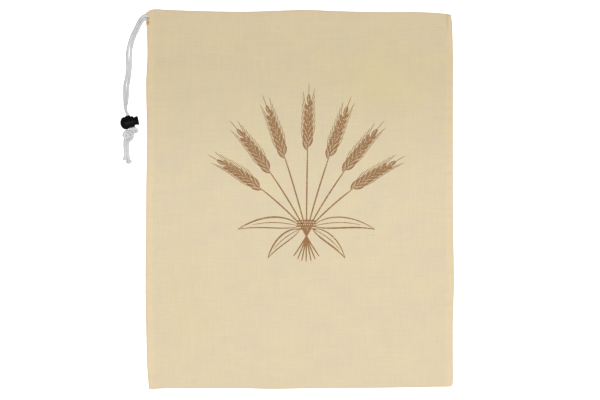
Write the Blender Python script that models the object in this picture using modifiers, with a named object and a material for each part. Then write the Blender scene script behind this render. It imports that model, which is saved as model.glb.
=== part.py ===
# Calico bread bag with a drawcord, lying on its back, with its cord lock, knot and cord tails.
# Metres. +X is the bag's right, +Y runs to its mouth, +Z is up. The origin is the middle of the underside.

import math

import bmesh
import bpy
from mathutils import Matrix, Vector

MM = 0.001

# Bag, flat size and layers
BAG_WIDTH = 365.0 * MM
BAG_TOP = 224.0 * MM
BAG_BOTTOM = -225.0 * MM
CORNER_RADIUS = 1.5 * MM
PANEL = 1.0 * MM
HEM_THICK = 2.2 * MM
HEM_LINE = 202.0 * MM
HEM_STEP = 1.5 * MM
SEAM_BAND = 7.0 * MM
FOLD_BAND = 2.4 * MM
LAYER_GAP = 0.4 * MM
EDGE_DROP = 1.0 * MM
EDGE_REACH = 2.2 * MM
FOLD_TAPER = 12.0 * MM
LIFT_BLEND = 0.5 * MM
OVERSHOOT = 8.0 * MM

# Grid of the front panel
BODY_ROWS = 24
BODY_COLUMNS = 22
POCKET_COLUMNS = 24
BOTTOM_ROW_GAP = 9.0 * MM
HEM_ROW_GAP = 6.0 * MM
MOUTH_ROW_SHARE = 0.7

# How far each long edge lies outside half the width, by height
LONG_EDGES = (
    # y, left, right
    (-223.1 * MM, -2.8 * MM, -1.3 * MM),
    (-199.3 * MM, -0.9 * MM, -0.1 * MM),
    (-149.3 * MM, 0.4 * MM, -0.1 * MM),
    (-99.3 * MM, 1.2 * MM, 1.2 * MM),
    (-27.9 * MM, 0.5 * MM, 0.2 * MM),
    (14.9 * MM, 0.2 * MM, 0.0 * MM),
    (79.2 * MM, -0.7 * MM, -0.1 * MM),
    (136.3 * MM, 0.4 * MM, 0.0 * MM),
    (172.0 * MM, -1.1 * MM, 0.0 * MM),
    (207.7 * MM, -0.4 * MM, -1.0 * MM),
    (217.2 * MM, -0.4 * MM, -2.1 * MM),
)

# How far the mouth's edge and the bottom fold lie outside BAG_TOP and BAG_BOTTOM, across the bag
SHORT_EDGES = (
    # x, mouth, bottom
    (-181.1 * MM, 0.1 * MM, 1.0 * MM),
    (-172.8 * MM, 2.0 * MM, 1.0 * MM),
    (-156.1 * MM, 1.3 * MM, 0.1 * MM),
    (-127.6 * MM, 0.1 * MM, 0.1 * MM),
    (-70.4 * MM, -1.1 * MM, 0.1 * MM),
    (-34.7 * MM, -0.2 * MM, 0.9 * MM),
    (8.1 * MM, 1.1 * MM, 0.3 * MM),
    (43.8 * MM, -0.3 * MM, -0.1 * MM),
    (86.6 * MM, -1.3 * MM, -0.3 * MM),
    (136.6 * MM, -1.3 * MM, -1.0 * MM),
    (158.0 * MM, -2.1 * MM, -1.5 * MM),
    (175.9 * MM, -3.6 * MM, -1.7 * MM),
)

# Height of the front panel's outer face at the side seams, and its rise in the middle, along the bag
CROWN = (
    # y, seam height, rise
    (-227.0 * MM, 2.4 * MM, 0.0 * MM),
    (-208.0 * MM, 3.0 * MM, 1.4 * MM),
    (-172.0 * MM, 3.0 * MM, 4.4 * MM),
    (-105.0 * MM, 3.0 * MM, 6.2 * MM),
    (0.0 * MM, 3.0 * MM, 6.6 * MM),
    (105.0 * MM, 3.0 * MM, 6.5 * MM),
    (172.0 * MM, 3.3 * MM, 7.0 * MM),
    (200.0 * MM, 4.7 * MM, 8.3 * MM),
    (227.0 * MM, 4.8 * MM, 9.3 * MM),
)

# Soft ridges and troughs that lie in the front panel
FOLDS = (
    # x, y, turn in degrees, half length, half width, height
    (-150.0 * MM, 182.0 * MM, -4.0, 60.0 * MM, 9.0 * MM, 0.6 * MM),
    (-140.0 * MM, 168.0 * MM, 3.0, 70.0 * MM, 8.0 * MM, -0.5 * MM),
    (-60.0 * MM, 176.0 * MM, 5.0, 55.0 * MM, 9.0 * MM, 0.5 * MM),
    (70.0 * MM, 180.0 * MM, -3.0, 70.0 * MM, 10.0 * MM, 0.5 * MM),
    (60.0 * MM, 155.0 * MM, 2.0, 80.0 * MM, 12.0 * MM, -0.5 * MM),
    (-155.0 * MM, 128.0 * MM, 6.0, 45.0 * MM, 9.0 * MM, -0.5 * MM),
    (150.0 * MM, 86.0 * MM, -5.0, 50.0 * MM, 9.0 * MM, 0.7 * MM),
    (155.0 * MM, 46.0 * MM, 4.0, 45.0 * MM, 8.0 * MM, 0.6 * MM),
    (-150.0 * MM, 70.0 * MM, -8.0, 50.0 * MM, 12.0 * MM, 0.5 * MM),
    (-152.0 * MM, -20.0 * MM, 7.0, 40.0 * MM, 12.0 * MM, 0.5 * MM),
    (148.0 * MM, -94.0 * MM, 3.0, 55.0 * MM, 8.0 * MM, 0.7 * MM),
    (120.0 * MM, -35.0 * MM, -12.0, 60.0 * MM, 12.0 * MM, -0.5 * MM),
    (10.0 * MM, -110.0 * MM, 2.0, 120.0 * MM, 16.0 * MM, 0.5 * MM),
    (-120.0 * MM, -150.0 * MM, -10.0, 60.0 * MM, 14.0 * MM, 0.5 * MM),
    (60.0 * MM, -178.0 * MM, 5.0, 80.0 * MM, 10.0 * MM, -0.4 * MM),
)

# Cord, and the two lanes in which it runs through the casing
CORD_RADIUS = 1.6 * MM
FACE_GAP = 0.3 * MM
LANE_RADIUS = 2.0 * MM
LANE_WALL = 0.8 * MM
LANE_HALF_BUMP = 3.2 * MM
LANES = (
    # x, front lane y, back lane y
    (-182.5 * MM, 218.4 * MM, 213.7 * MM),
    (-120.0 * MM, 218.0 * MM, 212.0 * MM),
    (0.0 * MM, 217.6 * MM, 209.4 * MM),
    (120.0 * MM, 216.9 * MM, 207.8 * MM),
    (168.0 * MM, 216.6 * MM, 207.4 * MM),
)
TURN_CENTRE_X = 168.0 * MM
TURN_ROOM = 8.0 * MM
CASING_CORD_END = -178.0 * MM
LANE_STEPS = 34
TURN_STEPS = 8
STRAND_STEP = 5.0 * MM

# Cord lock
LOCK_CENTRE = Vector((-203.7 * MM, 91.25 * MM, 7.65 * MM))
LOCK_TILT = math.radians(12.5)
BARREL_MOUTH = 7.0 * MM
BARREL_RIM = 0.3 * MM
BARREL_SKIN = (
    # radius, place along the lock's axis
    (5.75 * MM, BARREL_MOUTH),
    (6.3 * MM, 6.5 * MM),
    (6.55 * MM, 5.7 * MM),
    (6.6 * MM, 4.6 * MM),
    (6.85 * MM, 3.2 * MM),
    (7.2 * MM, 1.6 * MM),
    (7.45 * MM, -0.5 * MM),
    (7.55 * MM, -3.0 * MM),
    (7.5 * MM, -4.8 * MM),
    (7.15 * MM, -5.9 * MM),
    (6.65 * MM, -6.8 * MM),
    (5.95 * MM, -7.6 * MM),
    (5.0 * MM, -8.3 * MM),
    (3.8 * MM, -8.95 * MM),
    (2.2 * MM, -9.55 * MM),
    (0.0 * MM, -9.85 * MM),
)
BORE_RADIUS = 5.2 * MM
BORE_END = -7.0 * MM
SHAFT_RADIUS = 4.9 * MM
SHAFT_END = -3.2 * MM
SHAFT_TOP = 6.5 * MM
SHAFT_CHAMFER = 0.4 * MM
NECK_RADIUS = 4.75 * MM
NECK_FROM = 7.0 * MM
HEAD_FROM = 8.7 * MM
HEAD_TO = 12.3 * MM
HEAD_RADIUS = 5.5 * MM
HEAD_LIP = 0.8 * MM
DISH_RADIUS = 3.85 * MM
DISH_RIM_RADIUS = 4.25 * MM
DISH_DEPTH = 0.5 * MM
LOCK_SEGMENTS = 36
PRESS_TRAVEL = 3.0 * MM
HOLE_ALONG = 1.0 * MM
HOLE_HALF_HEIGHT = 3.85 * MM
BARREL_HOLE_LENGTH = 4.4 * MM
BARREL_HOLE_CORNER = 1.9 * MM
BUTTON_HOLE_CORNER = 1.0 * MM
HOLE_CUTTER_LENGTH = 30.0 * MM
STACK_HALF = 1.8 * MM
HOLE_CLEARANCE = 0.35 * MM
COLLAR_WALL = 1.0 * MM
COLLAR_SLOPE = 0.5 * MM
COLLAR_FROM = 5.3 * MM
COLLAR_REACH = {"entry": -8.2 * MM, "exit": 6.7 * MM}

# Middle line of the two free strands from outside the casing's slot to the lock
STRAND_ROUTE = (
    # x, y, z, half of their distance, turn in degrees (0 side by side, 90 the front strand on top)
    (-188.6 * MM, 212.7 * MM, 3.10 * MM, 2.20 * MM, 24.0),
    (-191.4 * MM, 207.9 * MM, 2.15 * MM, 1.90 * MM, 10.0),
    (-194.8 * MM, 200.8 * MM, 1.66 * MM, 1.80 * MM, 0.0),
    (-198.3 * MM, 193.6 * MM, 1.66 * MM, 1.80 * MM, 0.0),
    (-200.7 * MM, 186.3 * MM, 1.66 * MM, 1.85 * MM, 0.0),
    (-202.4 * MM, 179.1 * MM, 1.66 * MM, 2.00 * MM, 0.0),
    (-203.0 * MM, 172.0 * MM, 1.66 * MM, 2.15 * MM, 0.0),
    (-203.1 * MM, 164.9 * MM, 1.66 * MM, 1.90 * MM, 0.0),
    (-203.1 * MM, 157.7 * MM, 1.66 * MM, 1.80 * MM, 0.0),
    (-203.7 * MM, 150.6 * MM, 1.66 * MM, 1.80 * MM, 0.0),
    (-204.6 * MM, 143.4 * MM, 1.66 * MM, 1.85 * MM, 0.0),
    (-206.1 * MM, 136.3 * MM, 1.66 * MM, 2.05 * MM, 0.0),
    (-206.6 * MM, 129.2 * MM, 1.66 * MM, 1.85 * MM, 0.0),
    (-206.7 * MM, 122.0 * MM, 2.00 * MM, 1.80 * MM, 10.0),
    (-206.9 * MM, 114.9 * MM, 3.30 * MM, 1.80 * MM, 48.0),
    (-207.3 * MM, 109.9 * MM, 5.20 * MM, 1.80 * MM, 82.0),
    (-206.5 * MM, 105.0 * MM, 7.00 * MM, 1.80 * MM, 90.0),
)
SLOT_RUN = (-178.3 * MM, -181.0 * MM, -184.6 * MM)
LOCK_ENTRY = -10.0 * MM
LOCK_INSIDE = -8.0 * MM
LOCK_EXIT = 6.9 * MM

# Knot below the lock, as the line of each of the two strands, from the lock to the tails
KNOT_UPPER_STRAND = (
    # x, y, z
    (-201.1 * MM, 84.3 * MM, 9.45 * MM),
    (-200.7 * MM, 83.0 * MM, 9.45 * MM),
    (-198.4 * MM, 84.0 * MM, 9.30 * MM),
    (-196.0 * MM, 84.1 * MM, 8.50 * MM),
    (-193.8 * MM, 82.4 * MM, 6.70 * MM),
    (-194.0 * MM, 80.8 * MM, 4.60 * MM),
    (-196.9 * MM, 80.1 * MM, 3.00 * MM),
    (-201.2 * MM, 78.9 * MM, 2.70 * MM),
    (-205.9 * MM, 78.0 * MM, 3.30 * MM),
    (-209.2 * MM, 75.6 * MM, 4.60 * MM),
    (-208.2 * MM, 78.6 * MM, 6.60 * MM),
    (-204.9 * MM, 80.9 * MM, 8.30 * MM),
    (-201.6 * MM, 79.4 * MM, 9.20 * MM),
    (-199.0 * MM, 76.4 * MM, 8.90 * MM),
    (-199.5 * MM, 72.9 * MM, 6.50 * MM),
    (-201.4 * MM, 70.9 * MM, 4.40 * MM),
    (-203.7 * MM, 70.2 * MM, 2.90 * MM),
    (-204.6 * MM, 67.5 * MM, 1.90 * MM),
)
KNOT_LOWER_STRAND = (
    (-201.1 * MM, 84.3 * MM, 5.85 * MM),
    (-200.3 * MM, 82.3 * MM, 5.90 * MM),
    (-197.4 * MM, 80.9 * MM, 6.00 * MM),
    (-199.0 * MM, 77.2 * MM, 6.00 * MM),
    (-202.0 * MM, 74.6 * MM, 5.40 * MM),
    (-205.3 * MM, 74.0 * MM, 4.80 * MM),
    (-208.2 * MM, 71.8 * MM, 3.60 * MM),
    (-208.1 * MM, 67.5 * MM, 1.90 * MM),
)
KNOT_CORD_RADIUS = 1.8 * MM
KNOT_STEP = 1.5 * MM
KNOT_VOXEL = 0.9 * MM
KNOT_SMOOTHING = 2
KNOT_TOP = 7.4 * MM
KNOT_TOP_SLOPE = 0.125
KNOT_FOOT = 68.5 * MM
KNOT_BLOCK = 40.0 * MM

# Tails on the surface below the knot
TAIL_Z = 1.66 * MM
LEFT_TAIL = (
    # x, y
    (-208.1 * MM, 68.2 * MM),
    (-208.2 * MM, 62.5 * MM),
    (-207.6 * MM, 56.5 * MM),
    (-207.2 * MM, 52.0 * MM),
    (-208.6 * MM, 47.6 * MM),
)
RIGHT_TAIL = (
    (-204.6 * MM, 68.2 * MM),
    (-204.7 * MM, 62.5 * MM),
    (-204.1 * MM, 56.5 * MM),
    (-203.7 * MM, 51.5 * MM),
    (-203.3 * MM, 46.8 * MM),
    (-202.6 * MM, 42.4 * MM),
)
TAIL_STEP = 5.0 * MM

# Colours as seen on the object
CALICO_COLOUR = "DCCBA4"
CORD_COLOUR = "D4D4D2"
LOCK_COLOUR = "151518"


def clear_scene():
    for item in list(bpy.data.objects):
        bpy.data.objects.remove(item, do_unlink=True)


def new_collection(name):
    collection = bpy.data.collections.new(name)
    bpy.context.scene.collection.children.link(collection)
    return collection


def linear(hex_colour):
    channels = []
    for start in (0, 2, 4):
        value = int(hex_colour[start:start + 2], 16) / 255.0
        channels.append(value / 12.92 if value <= 0.04045 else ((value + 0.055) / 1.055) ** 2.4)
    return (*channels, 1.0)


def new_material(name, hex_colour, roughness):
    material = bpy.data.materials.new(name)
    material.use_nodes = True
    shader = material.node_tree.nodes["Principled BSDF"]
    shader.inputs["Base Color"].default_value = linear(hex_colour)
    shader.inputs["Roughness"].default_value = roughness
    shader.inputs["Metallic"].default_value = 0.0
    material.diffuse_color = linear(hex_colour)
    return material


def add_object(name, mesh, collection, material=None):
    item = bpy.data.objects.new(name, mesh)
    collection.objects.link(item)
    if material is not None:
        mesh.materials.append(material)
    return item


def hide_cutter(item):
    item.hide_render = True
    item.display_type = "WIRE"


def combine(target, tool, operation="DIFFERENCE"):
    modifier = target.modifiers.new(tool.name, "BOOLEAN")
    modifier.operation = operation
    modifier.object = tool
    modifier.solver = "EXACT"


def smooth_value(rows, at, column):
    """Smooth curve through one column of a table whose first column rises; level past its ends."""
    if at <= rows[0][0]:
        return rows[0][column]
    if at >= rows[-1][0]:
        return rows[-1][column]
    index = max(i for i, row in enumerate(rows) if row[0] <= at)
    slopes = []
    for i in (index, index + 1):
        before = rows[max(i - 1, 0)]
        after = rows[min(i + 1, len(rows) - 1)]
        slopes.append((after[column] - before[column]) / (after[0] - before[0]))
    start = rows[index]
    stop = rows[index + 1]
    span = stop[0] - start[0]
    t = (at - start[0]) / span
    return ((2 * t ** 3 - 3 * t ** 2 + 1) * start[column] + (t ** 3 - 2 * t ** 2 + t) * span * slopes[0]
            + (3 * t ** 2 - 2 * t ** 3) * stop[column] + (t ** 3 - t ** 2) * span * slopes[1])


def smooth_path(route, step):
    """Points at about one step along a smooth curve through a route's own points."""
    reach = [0.0]
    for before, after in zip(route, route[1:]):
        reach.append(reach[-1] + (after - before).length)
    rows = [(distance, *point) for distance, point in zip(reach, route)]
    count = max(2, round(reach[-1] / step))
    return [Vector([smooth_value(rows, reach[-1] * i / count, axis) for axis in (1, 2, 3)])
            for i in range(count + 1)]


def mix(low, high, share):
    return low + (high - low) * share


def ramp(value, low, high):
    share = min(max((value - low) / (high - low), 0.0), 1.0)
    return share * share * (3.0 - 2.0 * share)


# The bag's outline and the heights of its panels

def left_edge(y):
    return -BAG_WIDTH / 2 - smooth_value(LONG_EDGES, y, 1)


def right_edge(y):
    return BAG_WIDTH / 2 + smooth_value(LONG_EDGES, y, 2)


def mouth_edge(x):
    return BAG_TOP + smooth_value(SHORT_EDGES, x, 1)


def bottom_edge(x):
    return BAG_BOTTOM - smooth_value(SHORT_EDGES, x, 2)


def front_lane(x):
    return smooth_value(LANES, x, 1)


def back_lane(x):
    return smooth_value(LANES, x, 2)


def from_front_lane(x, y):
    """Distance in plan from the front lane, and past its right end from the turn into the back lane."""
    if x <= TURN_CENTRE_X:
        return y - front_lane(x)
    middle = (front_lane(x) + back_lane(x)) / 2
    radius = (front_lane(x) - back_lane(x)) / 2
    return math.hypot(x - TURN_CENTRE_X, y - middle) - radius


def pocket_left(y):
    return left_edge(y) + SEAM_BAND


def pocket_right(y):
    return right_edge(y) - SEAM_BAND - TURN_ROOM * ramp(y, HEM_LINE - 4 * HEM_STEP, HEM_LINE)


def hem_share(y):
    return min(max((y - HEM_LINE) / HEM_STEP, 0.0), 1.0)


def lane_bump(distance):
    lane_height = 2 * (LANE_WALL + LANE_RADIUS)
    return (lane_height - HEM_THICK) * math.exp(-(distance / LANE_HALF_BUMP) ** 4)


def panel_thickness(y):
    return mix(PANEL, HEM_THICK, hem_share(y))


def back_panel_top(x, y):
    bump = lane_bump(y - back_lane(x)) if x <= TURN_CENTRE_X else 0.0
    return panel_thickness(y) + hem_share(y) * bump


def fold_height(x, y):
    total = 0.0
    for fold_x, fold_y, turn, half_length, half_width, height in FOLDS:
        angle = math.radians(turn)
        along = (x - fold_x) * math.cos(angle) + (y - fold_y) * math.sin(angle)
        across = (y - fold_y) * math.cos(angle) - (x - fold_x) * math.sin(angle)
        total += height * math.exp(-(along / half_length) ** 2 - (across / half_width) ** 2)
    return total


def front_panel_underside(x, y):
    low = pocket_left(y)
    high = pocket_right(y)
    across = min(max((x - low) / (high - low), 0.0), 1.0) * 2.0 - 1.0
    crown = smooth_value(CROWN, y, 1) + smooth_value(CROWN, y, 2) * (1.0 - across * across)
    hanging = crown + fold_height(x, y) * ramp(HEM_LINE - y, 0.0, FOLD_TAPER) - panel_thickness(y)
    lowest = back_panel_top(x, y) + LAYER_GAP
    return (hanging + lowest + math.hypot(hanging - lowest, LIFT_BLEND)) / 2


def front_panel_top(x, y):
    own = panel_thickness(y) + hem_share(y) * lane_bump(from_front_lane(x, y))
    edge = min(x - left_edge(y), right_edge(y) - x, mouth_edge(x) - y, y - bottom_edge(x))
    missing = 1.0 - min(max(edge / EDGE_REACH, 0.0), 1.0)
    return front_panel_underside(x, y) + own - EDGE_DROP * missing ** 2


def row_lines(x):
    """Heights of the grid's rows at one place across the bag, close together over the cord's lanes."""
    bottom = bottom_edge(x)
    top = mouth_edge(x)
    back = back_lane(x)
    front = front_lane(x)
    body_from = bottom + BOTTOM_ROW_GAP
    body_to = HEM_LINE - HEM_ROW_GAP
    lines = [bottom, bottom + 0.4 * EDGE_REACH, bottom + FOLD_BAND]
    lines += [mix(body_from, body_to, i / (BODY_ROWS - 1)) for i in range(BODY_ROWS)]
    lines += [HEM_LINE, HEM_LINE + HEM_STEP]
    lines += [back - LANE_HALF_BUMP, back - LANE_RADIUS, back, back + LANE_RADIUS]
    lines += [(back + front) / 2, front - LANE_RADIUS, front, front + LANE_RADIUS]
    lines += [mix(front + LANE_RADIUS, top, MOUTH_ROW_SHARE), top]
    return lines


def column_shares(edge_steps, count):
    """Places from 0 to 1 across the bag: a few narrow steps at each side and even ones between."""
    inner_from = edge_steps[-1]
    inner = [mix(inner_from, 1.0 - inner_from, i / count) for i in range(1, count)]
    return list(edge_steps) + inner + [1.0 - step for step in reversed(edge_steps)]


def slab(name, shares, left, right, rows_at, low_height, high_height, collection, material=None):
    """A closed sheet between two height fields, over a grid that follows the bag's own edges."""
    row_count = len(rows_at(0.0))
    mesh = bpy.data.meshes.new(name)
    work = bmesh.new()
    bmesh.ops.create_grid(work, x_segments=len(shares) - 1, y_segments=row_count - 1, size=1.0)
    for vertex in work.verts:
        share = shares[round((vertex.co.x + 1.0) / 2.0 * (len(shares) - 1))]
        row = round((vertex.co.y + 1.0) / 2.0 * (row_count - 1))
        x = mix(-BAG_WIDTH / 2, BAG_WIDTH / 2, share)
        for _ in range(3):
            y = rows_at(x)[row]
            x = mix(left(y), right(y), share)
        vertex.co = (x, y, high_height(x, y))
    top_faces = list(work.faces)
    extruded = bmesh.ops.extrude_face_region(work, geom=top_faces, use_keep_orig=True)
    for item in extruded["geom"]:
        if isinstance(item, bmesh.types.BMVert):
            item.co.z = low_height(item.co.x, item.co.y)
    bmesh.ops.recalc_face_normals(work, faces=work.faces)
    work.to_mesh(mesh)
    work.free()
    return add_object(name, mesh, collection, material)


def tube(name, points, radius, collection, material=None):
    curve = bpy.data.curves.new(name, "CURVE")
    curve.dimensions = "3D"
    curve.twist_mode = "Z_UP"
    curve.bevel_depth = radius
    curve.bevel_resolution = 2
    curve.use_fill_caps = True
    spline = curve.splines.new("POLY")
    spline.points.add(len(points) - 1)
    for spot, point in zip(spline.points, points):
        spot.co = (*point, 1.0)
    item = bpy.data.objects.new(name, curve)
    collection.objects.link(item)
    if material is not None:
        curve.materials.append(material)
    return item


def tube_mesh(name, lines, radius, collection):
    """Tubes along one or more lines as one mesh of closed bodies, their end caps welded on."""
    work = bmesh.new()
    for points in lines:
        item = tube(name + "_line", points, radius, collection)
        bpy.context.view_layer.update()
        evaluated = item.evaluated_get(bpy.context.evaluated_depsgraph_get())
        piece = bpy.data.meshes.new_from_object(evaluated)
        piece.transform(item.matrix_world)
        work.from_mesh(piece)
        curve = item.data
        bpy.data.objects.remove(item, do_unlink=True)
        bpy.data.curves.remove(curve)
        bpy.data.meshes.remove(piece)
    bmesh.ops.remove_doubles(work, verts=work.verts, dist=0.01 * MM)
    bmesh.ops.recalc_face_normals(work, faces=work.faces)
    mesh = bpy.data.meshes.new(name)
    work.to_mesh(mesh)
    work.free()
    return add_object(name, mesh, collection)


def lane_points(x):
    """Places of the front and the back lane's centre lines at one place across the bag."""
    seen = max(x, -BAG_WIDTH / 2)
    lane_height = LANE_WALL + LANE_RADIUS
    front_z = front_panel_underside(seen, front_lane(seen)) + lane_height
    return Vector((x, front_lane(seen), front_z)), Vector((x, back_lane(seen), lane_height))


def casing_line():
    """The cord's line through the casing: front lane, turn at the right end, back lane."""
    pairs = [lane_points(mix(CASING_CORD_END, TURN_CENTRE_X, i / LANE_STEPS)) for i in range(LANE_STEPS + 1)]
    start, stop = pairs[-1]
    radius = (start.y - stop.y) / 2
    turn = []
    for i in range(1, TURN_STEPS):
        angle = math.radians(90.0 - 180.0 * i / TURN_STEPS)
        share = (1.0 - math.sin(angle)) / 2
        turn.append(Vector((TURN_CENTRE_X + radius * math.cos(angle),
                            (start.y + stop.y) / 2 + radius * math.sin(angle),
                            mix(start.z, stop.z, share))))
    return [front for front, _ in pairs] + turn + [back for _, back in reversed(pairs)]


def lock_axes():
    along = Vector((math.cos(LOCK_TILT), math.sin(LOCK_TILT), 0.0))
    down = Vector((math.sin(LOCK_TILT), -math.cos(LOCK_TILT), 0.0))
    return along, down


def strand_routes():
    """Routes of the front and the back strand: out of their lanes, then beside the pair's middle line."""
    along, down = lock_axes()
    hole = LOCK_CENTRE + along * HOLE_ALONG
    rows = [(Vector(row[:3]), row[3], math.radians(row[4])) for row in STRAND_ROUTE]
    for distance in (LOCK_ENTRY, LOCK_INSIDE, 0.0, LOCK_EXIT):
        rows.append((hole + down * distance, STACK_HALF, math.radians(90.0)))
    front = [lane_points(x)[0] for x in SLOT_RUN]
    back = [lane_points(x)[1] for x in SLOT_RUN]
    before = (front[-1] + back[-1]) / 2
    for index, (point, half, turn) in enumerate(rows):
        ahead = rows[min(index + 1, len(rows) - 1)][0] - before
        side = Vector((ahead.y, -ahead.x, 0.0)).normalized()
        offset = side * (half * math.cos(turn)) + Vector((0.0, 0.0, half * math.sin(turn)))
        front.append(point + offset)
        back.append(point - offset)
        before = point
    return front, back


def make_cloth(collection, cutters, material):
    edge_steps = [0.0, 0.4 * EDGE_REACH, EDGE_REACH, SEAM_BAND - FOLD_BAND, SEAM_BAND]
    edge_steps += [SEAM_BAND + i / 3 * TURN_ROOM for i in (1, 2, 3)]
    outer_shares = column_shares([step / BAG_WIDTH for step in edge_steps], BODY_COLUMNS)
    cloth = slab("bag_cloth", outer_shares, left_edge, right_edge, row_lines,
                 lambda x, y: 0.0, front_panel_top, collection, material)
    round_corners(cloth.data)

    def pocket_rows(x):
        lines = row_lines(x)[2:]
        return lines + [lines[-1] + OVERSHOOT]

    def inside(x, y):
        return min(y, mouth_edge(x))

    pocket_shares = column_shares([0.0, HEM_ROW_GAP / BAG_WIDTH], POCKET_COLUMNS)
    pocket = slab("pocket_cutter", pocket_shares, pocket_left, pocket_right, pocket_rows,
                  lambda x, y: back_panel_top(x, inside(x, y)),
                  lambda x, y: front_panel_underside(x, inside(x, y)), cutters)
    front_way_out, back_way_out = lane_points(-BAG_WIDTH / 2 - OVERSHOOT)
    lane_line = [front_way_out] + casing_line() + [back_way_out]
    lane = tube_mesh("lane_cutter", [lane_line], LANE_RADIUS, cutters)
    for cutter in (pocket, lane):
        hide_cutter(cutter)
        combine(cloth, cutter)
    return cloth


def round_corners(mesh):
    """Round the outline's four corners a little."""
    work = bmesh.new()
    work.from_mesh(mesh)
    corners = []
    for edge in work.edges:
        low, high = edge.verts
        upright = (low.co.xy - high.co.xy).length < 0.001 * MM
        if upright and edge.link_faces[0].normal.dot(edge.link_faces[1].normal) < 0.5:
            corners.append(edge)
    bmesh.ops.bevel(work, geom=corners, offset=CORNER_RADIUS, segments=2, affect="EDGES",
                    profile=0.5, clamp_overlap=True)
    work.to_mesh(mesh)
    work.free()


def make_casing_cord(collection, material):
    return tube("cord_in_casing", casing_line(), CORD_RADIUS, collection, material)


def make_strands(collection, material):
    front, back = strand_routes()
    for name, route in (("cord_front_strand", front), ("cord_back_strand", back)):
        tube(name, smooth_path(route, STRAND_STEP), CORD_RADIUS, collection, material)


def make_knot(collection, cutters, material):
    along, down = lock_axes()
    lines = []
    for rows in (KNOT_UPPER_STRAND, KNOT_LOWER_STRAND):
        lines.append(smooth_path([Vector(row) for row in rows], KNOT_STEP))
    knot = tube_mesh("cord_knot", lines, KNOT_CORD_RADIUS, collection)
    knot.data.materials.append(material)
    remesh = knot.modifiers.new("one_body", "REMESH")
    remesh.mode = "VOXEL"
    remesh.voxel_size = KNOT_VOXEL
    soften = knot.modifiers.new("soften", "SMOOTH")
    soften.factor = 0.5
    soften.iterations = KNOT_SMOOTHING
    top = LOCK_CENTRE + along * HOLE_ALONG + down * KNOT_TOP
    to_lock = -(down + along * KNOT_TOP_SLOPE)
    foot = Vector((top.x, KNOT_FOOT, top.z))
    for name, spot, away in (("knot_top_cutter", top, to_lock.normalized()),
                             ("knot_foot_cutter", foot, Vector((0.0, -1.0, 0.0)))):
        work = bmesh.new()
        bmesh.ops.create_cube(work, size=KNOT_BLOCK)
        mesh = bpy.data.meshes.new(name)
        work.to_mesh(mesh)
        work.free()
        block = add_object(name, mesh, cutters)
        turn = away.to_track_quat("Z", "Y").to_matrix().to_4x4()
        block.matrix_world = Matrix.Translation(spot + away * (KNOT_BLOCK / 2)) @ turn
        hide_cutter(block)
        combine(knot, block)
    return knot


def make_tails(collection, material):
    for name, rows in (("cord_left_tail", LEFT_TAIL), ("cord_right_tail", RIGHT_TAIL)):
        route = [Vector((x, y, TAIL_Z)) for x, y in rows]
        tube(name, smooth_path(route, TAIL_STEP), CORD_RADIUS, collection, material)


def turned(name, profile, collection, material):
    """A solid turned about its own Z axis from (radius, height) rows that run from top to bottom."""
    mesh = bpy.data.meshes.new(name)
    mesh.from_pydata([(radius, 0.0, height) for radius, height in profile],
                     [(i, i + 1) for i in range(len(profile) - 1)], [])
    item = add_object(name, mesh, collection, material)
    screw = item.modifiers.new("turn", "SCREW")
    screw.steps = LOCK_SEGMENTS
    screw.render_steps = LOCK_SEGMENTS
    screw.use_merge_vertices = True
    screw.merge_threshold = 0.01 * MM
    screw.use_smooth_shade = True
    return item


def arc_rows(centre_radius, centre_height, radius, start, stop, steps):
    rows = []
    for i in range(steps + 1):
        angle = math.radians(mix(start, stop, i / steps))
        rows.append((centre_radius + radius * math.cos(angle), centre_height + radius * math.sin(angle)))
    return rows


def cross_cutter(name, from_along, to_along, half_height, corner, cutters):
    """A round-cornered bar across the lock, for the hole that the two strands pass."""
    work = bmesh.new()
    bmesh.ops.create_cube(work, size=1.0)
    size = Vector((2 * half_height, HOLE_CUTTER_LENGTH, to_along - from_along))
    bmesh.ops.scale(work, vec=size, verts=work.verts)
    long_edges = [edge for edge in work.edges
                  if abs(edge.verts[0].co.y - edge.verts[1].co.y) > HOLE_CUTTER_LENGTH / 2]
    bmesh.ops.bevel(work, geom=long_edges, offset=corner, segments=4, affect="EDGES", profile=0.5)
    bmesh.ops.translate(work, vec=(0.0, 0.0, (from_along + to_along) / 2), verts=work.verts)
    mesh = bpy.data.meshes.new(name)
    work.to_mesh(mesh)
    work.free()
    item = add_object(name, mesh, cutters)
    hide_cutter(item)
    return item


def hole_collar(name, reach, from_along, to_along, cutters):
    """Raised rim, sloped outside, round one mouth of the hole across the barrel."""
    inner = Vector((HOLE_HALF_HEIGHT + COLLAR_WALL, 0.0, (to_along - from_along) / 2 + COLLAR_WALL))
    outer = inner - Vector((COLLAR_SLOPE, 0.0, COLLAR_SLOPE))
    work = bmesh.new()
    bmesh.ops.create_cube(work, size=2.0)
    for vertex in work.verts:
        far = vertex.co.y * reach > 0.0
        half = outer if far else inner
        vertex.co.x *= half.x
        vertex.co.z = vertex.co.z * half.z + (from_along + to_along) / 2
        vertex.co.y = reach if far else math.copysign(COLLAR_FROM, reach)
    side_edges = [edge for edge in work.edges
                  if abs(edge.verts[0].co.y - edge.verts[1].co.y) > abs(reach) - COLLAR_FROM - COLLAR_SLOPE]
    bmesh.ops.bevel(work, geom=side_edges, offset=BARREL_HOLE_CORNER + COLLAR_WALL / 2, segments=4,
                    affect="EDGES", profile=0.5)
    mesh = bpy.data.meshes.new(name)
    work.to_mesh(mesh)
    work.free()
    item = add_object(name, mesh, cutters)
    hide_cutter(item)
    return item


def lock_frame(collection):
    """Empty at the lock's centre whose own Z axis is the button's axis and whose Y axis is the hole's."""
    along, down = lock_axes()
    frame = bpy.data.objects.new("lock_axis", None)
    collection.objects.link(frame)
    up = down.cross(along)
    columns = Matrix((up, down, along)).transposed()
    frame.matrix_world = Matrix.Translation(LOCK_CENTRE) @ columns.to_4x4()
    return frame


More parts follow.
